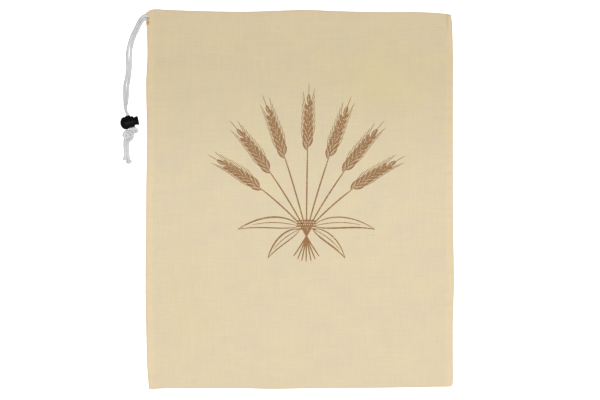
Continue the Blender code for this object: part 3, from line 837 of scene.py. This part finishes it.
def tubes_mesh(name, lines, radius, sides, thin_end=0.0):
    """Closed tubes along lines of points; their ends are thinner by a share."""
    vertices = []
    faces = []
    start = 0
    for line in lines:
        points = np.array(line)
        share = np.linspace(-1.0, 1.0, len(points))
        scale = radius * (1.0 - thin_end * np.abs(share) ** 3)
        vertices.append(tube_places(points, sides, scale[:, None, None]).reshape(-1, 3))
        faces += capped_faces(len(points), sides, start)
        start += len(points) * sides
    return mesh_of(name, np.concatenate(vertices), faces)


def braid_relief(round_share, along):
    """Height of the plait: 0 between two yarns, 1 on the back of the yarn that lies on top."""
    right = round_share * BRAID_YARNS + along / BRAID_PITCH
    left = round_share * BRAID_YARNS - along / BRAID_PITCH
    right_wave, left_wave = np.sin(np.pi * right), np.sin(np.pi * left)
    on_top = ramp(right_wave * left_wave, -BRAID_BLEND, BRAID_BLEND)
    return mix(np.abs(left_wave), np.abs(right_wave), on_top)


def cord_mesh(name, lines, sides=BRAID_SIDES, swells=None):
    """Braided cord along one or more lines, each a closed tube, with scales of its radius along them."""
    vertices = []
    faces = []
    for number, line in enumerate(lines):
        points = np.array(line)
        along = np.concatenate([[0.0], np.cumsum(np.linalg.norm(np.diff(points, axis=0), axis=1))])
        height = braid_relief(np.arange(sides)[None, :] / sides, along[:, None])
        radius = CORD_RADIUS - BRAID_RELIEF * (1.0 - height)
        if swells is not None:
            radius = radius * smooth_value(swells[number], along, 1)[:, None]
        tube = tube_places(points, sides, radius[:, :, None])
        tube[:, :, 2] = np.maximum(tube[:, :, 2], REST)
        start = sum(len(part) for part in vertices)
        count = len(points) * sides
        vertices.append(np.concatenate([tube.reshape(-1, 3), points[:1], points[-1:]]))
        faces += grid_faces(len(points), sides, start, closed=True)
        last = start + count - sides
        for side in range(sides):
            following = (side + 1) % sides
            faces.append((start + following, start + side, start + count))
            faces.append((last + side, last + following, start + count + 1))
    return mesh_of(name, np.concatenate(vertices), faces)


def lock_axes():
    along = Vector((math.cos(LOCK_TILT), math.sin(LOCK_TILT), 0.0))
    down = Vector((math.sin(LOCK_TILT), -math.cos(LOCK_TILT), 0.0))
    return along, down


def strand_routes():
    """Routes of the front and the back strand: out of their lanes, then beside the pair's middle line."""
    along, down = lock_axes()
    hole = LOCK_CENTRE + along * HOLE_ALONG
    rows = [(Vector(row[:3]), row[3], math.radians(row[4])) for row in STRAND_ROUTE]
    for distance in (LOCK_ENTRY, LOCK_INSIDE, 0.0, LOCK_EXIT + FACE_GAP / 2):
        rows.append((hole + down * distance, STACK_HALF, math.radians(90.0)))
    front = [lane_points(x)[0] - Vector((0.0, lower, 0.0)) for x, lower, _ in SLOT_RUN]
    back = [lane_points(x)[1] + Vector((0.0, higher, 0.0)) for x, _, higher in SLOT_RUN]
    before = (front[-1] + back[-1]) / 2
    for index, (point, half, turn) in enumerate(rows):
        ahead = rows[min(index + 1, len(rows) - 1)][0] - before
        side = Vector((ahead.y, -ahead.x, 0.0)).normalized()
        offset = side * (half * math.cos(turn)) + Vector((0.0, 0.0, half * math.sin(turn)))
        front.append(point + offset)
        back.append(point - offset)
        before = point
    return front, back


def knot_strands():
    """The two strands' routes from the lock's exit through the knot, each into its own tail."""
    along, down = lock_axes()
    exit_point = LOCK_CENTRE + along * HOLE_ALONG + down * (LOCK_EXIT + FACE_GAP / 2)
    strands = []
    for sign, rows, tail in ((1.0, KNOT_UPPER_STRAND, RIGHT_TAIL), (-1.0, KNOT_LOWER_STRAND, LEFT_TAIL)):
        start = exit_point + Vector((0.0, 0.0, sign * STACK_HALF))
        strands.append([start, *rows, *[(x, y, TAIL_Z) for x, y in tail]])
    return strands


# Shaders

def srgb(colour):
    channels = [value / 255.0 for value in colour]
    return [c / 12.92 if c <= 0.04045 else ((c + 0.055) / 1.055) ** 2.4 for c in channels] + [1.0]


def scaled(colour, share):
    return [channel * share for channel in colour[:3]] + [1.0]


class Shader:
    """A material and short ways to add nodes to it."""

    def __init__(self, name):
        self.material = bpy.data.materials.new(name)
        self.material.use_nodes = True
        self.tree = self.material.node_tree
        self.surface = self.tree.nodes["Principled BSDF"]
        self.place = self.node("TexCoord", "Object", {})

    def feed(self, socket, value):
        if isinstance(value, bpy.types.NodeSocket):
            self.tree.links.new(value, socket)
        else:
            socket.default_value = value

    def node(self, kind, output, sockets, **settings):
        node = self.tree.nodes.new("ShaderNode" + kind)
        for name, value in settings.items():
            setattr(node, name, value)
        for name, value in sockets.items():
            self.feed(node.inputs[name], value)
        return node.outputs[output]

    def axis(self, vector, number):
        return self.node("SeparateXYZ", number, {0: vector})

    def maths(self, kind, *values):
        return self.node("Math", 0, dict(enumerate(values)), operation=kind)

    def sum(self, one, other):
        return self.maths("ADD", one, other)

    def product(self, one, other):
        return self.maths("MULTIPLY", one, other)

    def ramp(self, value, low, high, to_low=0.0, to_high=1.0):
        return self.node("MapRange", "Result", {"Value": value, "From Min": low, "From Max": high,
                                                "To Min": to_low, "To Max": to_high},
                         interpolation_type="SMOOTHSTEP")

    def stretched(self, vector, x, y, z=1.0):
        return self.node("VectorMath", 0, {0: vector, 1: (x, y, z)}, operation="MULTIPLY")

    def noise(self, x, y, z=1.0, detail=2.0, roughness=0.5):
        """Soft unevenness with so many waves a metre along each axis."""
        waves = self.stretched(self.place, x, y, z)
        return self.node("TexNoise", "Fac", {"Vector": waves, "Scale": 1.0, "Detail": detail,
                                             "Roughness": roughness})

    def colour(self, share, low, high, blend="MIX"):
        return self.node("Mix", 2, {0: share, 6: low, 7: high}, data_type="RGBA", blend_type=blend)

    def bump(self, height, distance):
        return self.node("Bump", 0, {"Height": height, "Distance": distance, "Strength": 1.0})

    def finish(self, colour, roughness, normal=None, **fixed):
        self.feed(self.surface.inputs["Base Color"], colour)
        self.feed(self.surface.inputs["Roughness"], roughness)
        if normal is not None:
            self.feed(self.surface.inputs["Normal"], normal)
        for name, value in fixed.items():
            self.surface.inputs[name.replace("_", " ")].default_value = value
        return self.material


def weave_height(s, x, y):
    """Plain weave: warp and weft threads that pass over each other in turn."""
    warp = s.maths("SINE", s.product(x, math.pi / WARP_PITCH))
    weft = s.maths("SINE", s.product(y, math.pi / WEFT_PITCH))
    over = s.ramp(s.product(warp, weft), -0.4, 0.4)
    warp_back = s.product(s.maths("ABSOLUTE", warp), over)
    weft_back = s.product(s.maths("ABSOLUTE", weft), s.maths("SUBTRACT", 1, over))
    return s.sum(warp_back, weft_back)


def streaks(s, fine):
    """Uneven threads: narrow bands along the warp and along the weft."""
    warp = s.noise(fine, fine * STREAK_SHARE, detail=3)
    weft = s.noise(fine * STREAK_SHARE, fine, detail=3)
    return warp, weft


def undyed_cotton(s):
    """The calico's colour, which wanders between its own tones and has yellower patches."""
    cloud = s.noise(26, 34, detail=3)
    patch = s.noise(75, 60)
    colour = s.colour(s.ramp(cloud, 0.35, 0.68), srgb(CALICO_GREY), srgb(CALICO))
    colour = s.colour(s.ramp(patch, 0.52, 0.75, 0, 0.35), colour, srgb(CALICO_ROSE))
    for patch_x, patch_y, half_width, half_height, share in YELLOW_PATCHES:
        away = s.node("VectorMath", 0, {0: s.place, 1: (patch_x, patch_y, 0)}, operation="SUBTRACT")
        away = s.stretched(away, 1.0 / half_width, 1.0 / half_height, 0)
        distance = s.sum(s.node("VectorMath", "Value", {0: away}, operation="LENGTH"), patch)
        colour = s.colour(s.ramp(distance, 0.6, 1.5, share, 0), colour, srgb(CALICO_YELLOW))
    return colour


def seam_share(s, x):
    """How much the allowances inside the side seams show through, unevenly and with a wandering edge."""
    wander = s.product(s.maths("SUBTRACT", s.noise(8, 60), 0.5), SEAM_WANDER)
    side = s.sum(s.maths("ABSOLUTE", x), wander)
    seam = BAG_WIDTH / 2 - SEAM_BAND
    band = s.ramp(side, seam - SEAM_FADE, seam + 0.4 * MM)
    return s.product(band, s.ramp(s.noise(40, 110), 0.25, 0.7, 0.2, 0.9))


def fleck_share(s):
    """Small dark flecks of seed, each in one of some uneven cells of the cloth."""
    cells = s.tree.nodes.new("ShaderNodeTexVoronoi")
    s.feed(cells.inputs["Vector"], s.place)
    cells.inputs["Scale"].default_value = FLECK_CELLS
    chosen = s.maths("GREATER_THAN", s.axis(cells.outputs["Color"], 0), 1.0 - FLECK_CHOSEN)
    near = s.ramp(cells.outputs["Distance"], 0.03, 0.075, 1, 0)
    return s.product(s.product(chosen, near), FLECK_STRENGTH)


def calico_material():
    s = Shader("calico_weave")
    x, y = s.axis(s.place, 0), s.axis(s.place, 1)
    warp, weft = streaks(s, THREADS_FINE)
    thread = s.sum(warp, weft)
    slubs = s.sum(*streaks(s, SLUBS_FINE))
    colour = undyed_cotton(s)
    colour = s.colour(s.ramp(y, ROSE_TO, ROSE_FROM, ROSE_SHARE, 0), colour, srgb(CALICO_ROSE))
    casing = s.ramp(y, HEM_LINE - 0.5 * MM, HEM_LINE + 1 * MM, 0, 0.5)
    colour = s.colour(casing, colour, srgb(CALICO_ROSE))
    colour = s.colour(seam_share(s, x), colour, srgb(CALICO_WARM))
    for uneven, low, high in ((thread, 0.970, 1.022), (slubs, 0.984, 1.014)):
        colour = s.colour(1, colour, s.ramp(uneven, 0.72, 1.28, low, high), "MULTIPLY")
    # Painted shade: the calico darkens and turns a little yellower towards the mouth
    mouth_shade = s.colour(1, colour, (*MOUTH_SHADE, 1), "MULTIPLY")
    colour = s.colour(s.ramp(y, MOUTH_SHADE_FROM, MOUTH_SHADE_TO), colour, mouth_shade)
    colour = s.colour(fleck_share(s), colour, srgb(FLECK))
    height = s.sum(weave_height(s, x, y), s.product(thread, 1.6))
    roughness = s.ramp(thread, 0.7, 1.3, 0.96, 0.86)
    return s.finish(colour, roughness, s.bump(height, 0.05 * MM),
                    Specular_IOR_Level=0.25, Sheen_Weight=0.12, Sheen_Roughness=0.5)


def ink_material():
    s = Shader("printed_ink")
    x, y = s.axis(s.place, 0), s.axis(s.place, 1)
    warp, weft = streaks(s, INK_FINE)
    worn = s.noise(300, 300, detail=4, roughness=0.65)
    worn = s.sum(worn, s.product(s.sum(warp, weft), 0.25))
    colour = s.colour(s.ramp(worn, 0.78, 0.98, 0, 0.55), srgb(INK), srgb(CALICO))
    return s.finish(colour, 0.82, s.bump(weave_height(s, x, y), 0.04 * MM), Specular_IOR_Level=0.3)


def braid_material(name, colour):
    s = Shader(name)
    fibres = s.noise(2600, 900, 2600, detail=3)
    cloud = s.noise(180, 120, 180)
    light = srgb(colour)
    tone = s.colour(s.ramp(cloud, 0.3, 0.7), scaled(light, 0.86), light)
    tone = s.colour(1, tone, s.ramp(fibres, 0.3, 0.7, 0.93, 1.05), "MULTIPLY")
    return s.finish(tone, 0.85, s.bump(fibres, 0.06 * MM),
                    Specular_IOR_Level=0.3, Sheen_Weight=0.2, Sheen_Roughness=0.4)


def plastic_material():
    s = Shader("moulded_plastic")
    grain = s.noise(2400, 2400, 2400, detail=3)
    wear = s.noise(260, 260, 260, detail=4)
    dark = srgb(PLASTIC)
    colour = s.colour(s.ramp(wear, 0.45, 0.75), dark, scaled(dark, 1.9))
    roughness = s.ramp(wear, 0.3, 0.7, 0.42, 0.58)
    return s.finish(colour, roughness, s.bump(grain, 0.03 * MM), Specular_IOR_Level=0.09)


def thread_material(name, colour):
    s = Shader(name)
    twist = s.noise(3800, 2200, 3800)
    light = srgb(colour)
    tone = s.colour(s.ramp(twist, 0.35, 0.65), scaled(light, 0.8), light)
    return s.finish(tone, 0.8, s.bump(twist, 0.04 * MM), Specular_IOR_Level=0.3)


# Pieces

def make_camera():
    data = bpy.data.cameras.new("camera")
    data.sensor_width = SENSOR
    data.lens = SENSOR * CAMERA_HEIGHT / (IMAGE_WIDTH * PIXEL)
    camera = new_object("camera", data)
    camera.location = (*VIEW_CENTRE, CAMERA_HEIGHT)
    bpy.context.scene.camera = camera


def fray_lines():
    """Loose yarns that fan out of the right tail's cut end and lie down on the surface."""
    random = np.random.default_rng(FRAY_SEED)
    end = np.array([*RIGHT_TAIL[-1], TAIL_Z])
    ahead = end[:2] - np.array(RIGHT_TAIL[-2])
    heading = math.atan2(ahead[1], ahead[0])
    lines = []
    for number in range(FRAY_YARNS):
        share = (number + 0.5) / FRAY_YARNS * 2.0 - 1.0
        turn = heading + math.radians(FRAY_SPREAD) * share
        beside = np.array([-math.sin(heading), math.cos(heading)]) * share * (CORD_RADIUS - FRAY_RADIUS)
        start = np.append(end[:2] + beside, end[2] * random.uniform(*FRAY_START_HEIGHTS))
        length = FRAY_LENGTH * (1.0 - FRAY_SHORTER * abs(share)) * random.uniform(*FRAY_LENGTH_SHARES)
        step = np.array([math.cos(turn), math.sin(turn)]) * length
        aside = random.uniform(-FRAY_WANDER_MM, FRAY_WANDER_MM, 2) * MM
        middle = np.append(start[:2] + 0.5 * step + aside, mix(start[2], FRAY_RADIUS, FRAY_DROP))
        tip = np.append(start[:2] + step, FRAY_RADIUS + FRAY_TIP_LIFT)
        inside = np.append(start[:2] - FRAY_INSIDE * step, start[2])
        lines.append(smooth_path([inside, start, middle, tip], FRAY_RADIUS))
    return lines


def make_cords(material, ends_material):
    strands = [smooth_path(line, BRAID_STEP) for line in knot_strands()]
    mesh = cord_mesh("knot_and_tails", strands, swells=KNOT_SWELLS)
    knot = new_piece(mesh, ends_material)
    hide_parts("cord_knot", "cord_left_tail", "cord_right_tail")
    mesh = tubes_mesh("frayed_end", fray_lines(), FRAY_RADIUS, THREAD_SIDES, THREAD_THINNING)
    frays = new_piece(mesh, ends_material)
    for side, route in zip(("front", "back"), strand_routes()):
        line = smooth_path(route, BRAID_STEP)
        mesh = cord_mesh(side + "_strand", [line], swells=[STRAND_SWELL])
        strand = new_piece(mesh, material)
        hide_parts("cord_" + side + "_strand")
    hidden = smooth_path(casing_line(), HIDDEN_STEP)
    casing = new_piece(cord_mesh("casing_cord", [hidden], sides=HIDDEN_SIDES), material)
    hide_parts("cord_in_casing")


def slot_mesh():
    """A block that joins the two lanes' open ends into one slot."""
    front, back = lane_points(-BAG_WIDTH / 2)
    middle = (front + back) / 2
    across = front - back
    work = bmesh.new()
    bmesh.ops.create_cube(work, size=1.0)
    bmesh.ops.scale(work, vec=(2 * SLOT_MOUTH, across.length, SLOT_THICK), verts=work.verts)
    lean = across.to_track_quat("Y", "Z").to_matrix().to_4x4()
    bmesh.ops.transform(work, matrix=lean, verts=work.verts)
    bmesh.ops.translate(work, vec=(-BAG_WIDTH / 2 - SLOT_MOUTH / 2, middle.y, middle.z), verts=work.verts)
    mesh = bpy.data.meshes.new("slot_cutter")
    work.to_mesh(mesh)
    work.free()
    return mesh


def without(mesh, cutters):
    """The mesh with the cutters' bodies taken out of it."""
    item = new_object("uncut", mesh)
    helpers = [item]
    for cutter in cutters:
        helpers.append(new_object(cutter.name, cutter))
        modifier = item.modifiers.new(cutter.name, "BOOLEAN")
        modifier.operation = "DIFFERENCE"
        modifier.object = helpers[-1]
        modifier.solver = "EXACT"
    bpy.context.view_layer.update()
    cut = bpy.data.meshes.new_from_object(item.evaluated_get(bpy.context.evaluated_depsgraph_get()))
    for helper in helpers:
        bpy.data.objects.remove(helper, do_unlink=True)
    return cut


def join_flat_faces(mesh):
    """Join the faces of the flat underside into one."""
    work = bmesh.new()
    work.from_mesh(mesh)
    flat = [face for face in work.faces if all(abs(vertex.co.z) < FLAT_WITHIN for vertex in face.verts)]
    bmesh.ops.dissolve_faces(work, faces=flat, use_verts=True)
    work.to_mesh(mesh)
    work.free()


def make_cloth(material):
    x, y = outer_grid()
    skin = closed_sheet("bag_skin", x, y, back_skin(x, y), front_skin(x, y))
    join_flat_faces(skin)
    front_out, back_out = lane_points(-BAG_WIDTH / 2 - OVERSHOOT)
    lane = [front_out, *casing_line(), back_out]
    lane_tube = tubes_mesh("lane_cutter", [lane], LANE_RADIUS, LANE_SIDES)
    mesh = without(skin, [pocket_mesh(), lane_tube, slot_mesh()])
    mesh.name = "calico_bag"
    bag = new_piece(mesh, material)
    mesh.set_sharp_from_angle(angle=math.radians(CLOTH_SHARP_ANGLE))
    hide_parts("bag_cloth")


def stitch(middle_x, middle_y, turn, length):
    """Line of one stitch on the front panel, whose ends dip into the cloth."""
    share = np.linspace(-1.0, 1.0, STITCH_POINTS)
    x = middle_x + share * length / 2 * math.cos(math.radians(turn))
    y = middle_y + share * length / 2 * math.sin(math.radians(turn))
    z = front_skin(x, y) + STITCH_RISE * STITCH_RADIUS - STITCH_SINK * np.abs(share) ** 4
    return np.column_stack([x, y, z])


def make_stitches(material):
    """Hem stitches across the front panel."""
    count = int((BAG_WIDTH - 2 * SEAM_BAND) / STITCH_PITCH)
    random = np.random.default_rng(STITCH_SEED)
    lines = []
    for number in range(count):
        along = random.uniform(-STITCH_WANDER_MM, STITCH_WANDER_MM) * MM
        across = random.uniform(-STITCH_WANDER_MM, STITCH_WANDER_MM) * MM
        turn = random.uniform(-STITCH_TURN, STITCH_TURN)
        x = (number - (count - 1) / 2) * STITCH_PITCH + along
        lines.append(stitch(x, HEM_LINE + HEM_STEP / 2 + across, turn, STITCH_LENGTH))
    mesh = tubes_mesh("hem_stitches", lines, STITCH_RADIUS, THREAD_SIDES, THREAD_THINNING)
    new_piece(mesh, material)


def make_tack(material):
    """Close stitches that lock the side seam's end below the slot."""
    random = np.random.default_rng(TACK_SEED)
    lines = []
    for number in range(TACK_THREADS):
        y = TACK_CENTRE[1] + (number / (TACK_THREADS - 1) - 0.5) * TACK_HEIGHT
        turn = random.uniform(-TACK_TURN, TACK_TURN)
        width = TACK_WIDTH * random.uniform(*TACK_WIDTH_SHARES)
        lines.append(stitch(TACK_CENTRE[0], y, turn, width))
    mesh = tubes_mesh("slot_tack", lines, TACK_THICKER * STITCH_RADIUS, THREAD_SIDES, THREAD_THINNING)
    new_piece(mesh, material)


# Print

def bend(start, heading, turn, length, count):
    """Points along an arc in millimetres: it heads so many degrees clockwise from +Y and turns evenly."""
    share = (np.arange(count - 1) + 0.5) / (count - 1)
    angle = np.radians(heading + turn * share)
    step = length / (count - 1)
    moves = np.column_stack([np.sin(angle), np.cos(angle)]) * step
    return np.concatenate([[start], np.array(start) + np.cumsum(moves, axis=0)])


def offset_line(points, distance):
    ahead = np.gradient(points, axis=0)
    ahead /= np.linalg.norm(ahead, axis=1)[:, None]
    return points + np.column_stack([ahead[:, 1], -ahead[:, 0]]) * np.asarray(distance)[:, None]


def heading_at(points, index):
    step = points[min(index + 1, len(points) - 1)] - points[max(index - 1, 0)]
    return math.degrees(math.atan2(step[0], step[1]))


def towards(heading):
    return np.array([math.sin(math.radians(heading)), math.cos(math.radians(heading))])


class Print:
    """Brush strokes of ink that lie on the front panel."""

    def __init__(self):
        self.places = []
        self.lifts = []
        self.faces = []
        self.strokes = 0

    def stroke(self, points, width, thin_start=0.35, thin_end=0.25):
        """A line in millimetres whose width swells in the middle and thins towards its ends."""
        points = np.array(points, dtype=float)
        count = len(points)
        share = np.linspace(0.0, 1.0, count)
        ends = mix(thin_start, thin_end, share)
        half = width / 2 * (ends + (1.0 - ends) * np.sin(np.pi * share) ** 0.6)
        columns = [offset_line(points, half * side) for side in (1.0, 0.0, -1.0)]
        start = sum(len(part) for part in self.places)
        ring = columns + columns[::-1]
        self.places.append(np.stack(ring, axis=1).reshape(-1, 2))
        lift = INK_HEIGHT + (self.strokes % INK_LEVELS) * INK_LEVEL_STEP
        self.lifts.append(np.tile([lift] * 3 + [-INK_SINK] * 3, count))
        self.faces += capped_faces(count, 6, start, turned=True)
        self.strokes += 1

    def grain(self, base, heading, length, side):
        """One grain of an ear: two outline strokes that bulge apart, and a crease between them."""
        for hand in (-1, 1):
            width = BOLD_GRAIN_LINE if hand == side else FINE_GRAIN_LINE
            bulge = GRAIN_BULGE * hand
            self.stroke(bend(base, heading + bulge, -2 * bulge, length * 1.05, 8), width)
        crease = bend(base, heading, 4.0 * side, length * 0.62, 5)
        self.stroke(crease + towards(heading) * length * 0.2, CREASE_LINE)

    def awn(self, start, heading, turn):
        self.stroke(bend(start, heading, turn, AWN_LENGTH, 6), AWN_LINE, 0.8, 0.3)

    def ear(self, start, heading, turn, length):
        """Grains in turn on both sides of a spine, each with an awn, and one grain on top."""
        spine = bend(start, heading, turn, length, EAR_POINTS)
        self.stroke(spine, SPINE_LINE)
        for index in range(0, EAR_POINTS - 1, 2):
            for side in (-1, 1):
                place = spine[index + max(side, 0)]
                here = heading_at(spine, index)
                lean = here + GRAIN_LEAN * side
                size = GRAIN_LENGTH - GRAIN_SHORTER * index
                self.grain(place, lean, size, side)
                self.awn(place + towards(lean) * size, here + AWN_LEAN * side, -8.0 * side)
        ahead = heading_at(spine, EAR_POINTS - 1)
        self.grain(spine[-1], ahead, TOP_GRAIN_LENGTH, 1)
        self.awn(spine[-1] + 0.85 * (spine[-1] - spine[-4]), ahead, 0.0)

    def blade(self, start, heading, turn, length, half_width):
        """A long leaf: two outlines and a midrib."""
        midrib = bend(start, heading, turn, length, BLADE_POINTS)
        share = np.linspace(0.0, 1.0, BLADE_POINTS)
        belly = half_width * np.sin(np.pi * share ** 0.7)
        self.stroke(offset_line(midrib, belly), BOLD_BLADE_LINE)
        self.stroke(offset_line(midrib, -belly), FINE_BLADE_LINE)
        self.stroke(midrib[:MIDRIB_POINTS], MIDRIB_LINE)

    def make(self, material):
        places = np.concatenate(self.places) * MM
        height = front_skin(places[:, 0], places[:, 1]) + np.concatenate(self.lifts)
        mesh = mesh_of("printed_sheaf", np.column_stack([places, height]), self.faces)
        new_piece(mesh, material)
        mesh.set_sharp_from_angle(angle=math.radians(INK_SHARP_ANGLE))


def make_print(material):
    """A fan of ears of wheat on their stalks, tied above the roots, with two blades at each side."""
    ink = Print()
    for heading, turn, stem, ear, beside in STALKS:
        start = (TIE_X + beside, TIE_Y)
        stem_turn = turn * stem / (stem + ear)
        line = bend(start, heading, stem_turn, stem, 16)
        ink.stroke(line, STALK_LINE, 0.8, 0.6)
        ink.ear(line[-1], heading + stem_turn, turn - stem_turn, ear)
        root = bend(start, 180.0 + heading * ROOT_SPREAD, turn * 0.5, ROOT_LENGTH, 9)
        ink.stroke(root, STALK_LINE, 0.8, 0.6)
    for side in (-1, 1):
        for beside, below, heading, turn, length, half_width in BLADES:
            start = (TIE_X + beside * side, TIE_Y - below)
            ink.blade(start, heading * side, turn * side, length, half_width)
    for step in range(TIE_BANDS):
        start = (TIE_X - TIE_WIDTH / 2, TIE_Y + 4.0 - TIE_PITCH * step)
        ink.stroke(bend(start, 90.0 - TIE_ARCH / 2, TIE_ARCH, TIE_WIDTH, 9), TIE_LINE, 0.6, 0.6)
    ink.make(material)


def make_stage():
    corners = [(x * FLOOR_HALF, y * FLOOR_HALF, 0.0) for x, y in ((-1, -1), (1, -1), (1, 1), (-1, 1))]
    mesh = mesh_of("floor", corners, [(0, 1, 2, 3)])
    floor = new_object("floor", mesh)
    floor.location = (0.0, 0.0, -FLOOR_DROP)
    shader = Shader("paper")
    shader.surface.inputs["Emission Color"].default_value = WHITE
    shader.surface.inputs["Emission Strength"].default_value = FLOOR_GLOW
    mesh.materials.append(shader.finish(srgb(FLOOR), 0.9, Specular_IOR_Level=0.1))
    floor.visible_diffuse = False
    floor.visible_glossy = False


def make_light():
    scene = bpy.context.scene
    world = bpy.data.worlds.new("studio")
    world.use_nodes = True
    background = world.node_tree.nodes["Background"]
    background.inputs["Color"].default_value = WHITE
    background.inputs["Strength"].default_value = ROOM_LIGHT
    scene.world = world
    lamp = bpy.data.lights.new("soft_box", "AREA")
    lamp.shape = "DISK"
    lamp.size = LAMP_SIZE
    lamp.energy = LAMP_POWER
    box = new_object("soft_box", lamp)
    box.location = LAMP_PLACE
    box.rotation_euler = (-Vector(LAMP_PLACE)).to_track_quat("-Z", "Y").to_euler()
    scene.view_settings.view_transform = "Standard"


def main():
    make_camera()
    make_cords(braid_material("soft_braid", CORD), braid_material("soft_braid_ends", CORD_ENDS))
    plastic = plastic_material()
    for name in ("lock_barrel", "lock_button"):
        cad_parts[name].data.materials.clear()
        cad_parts[name].data.materials.append(plastic)
    make_cloth(calico_material())
    make_stitches(thread_material("hem_thread", THREAD))
    make_tack(thread_material("tack_thread", TACK))
    make_print(ink_material())
    make_stage()
    make_light()


main()
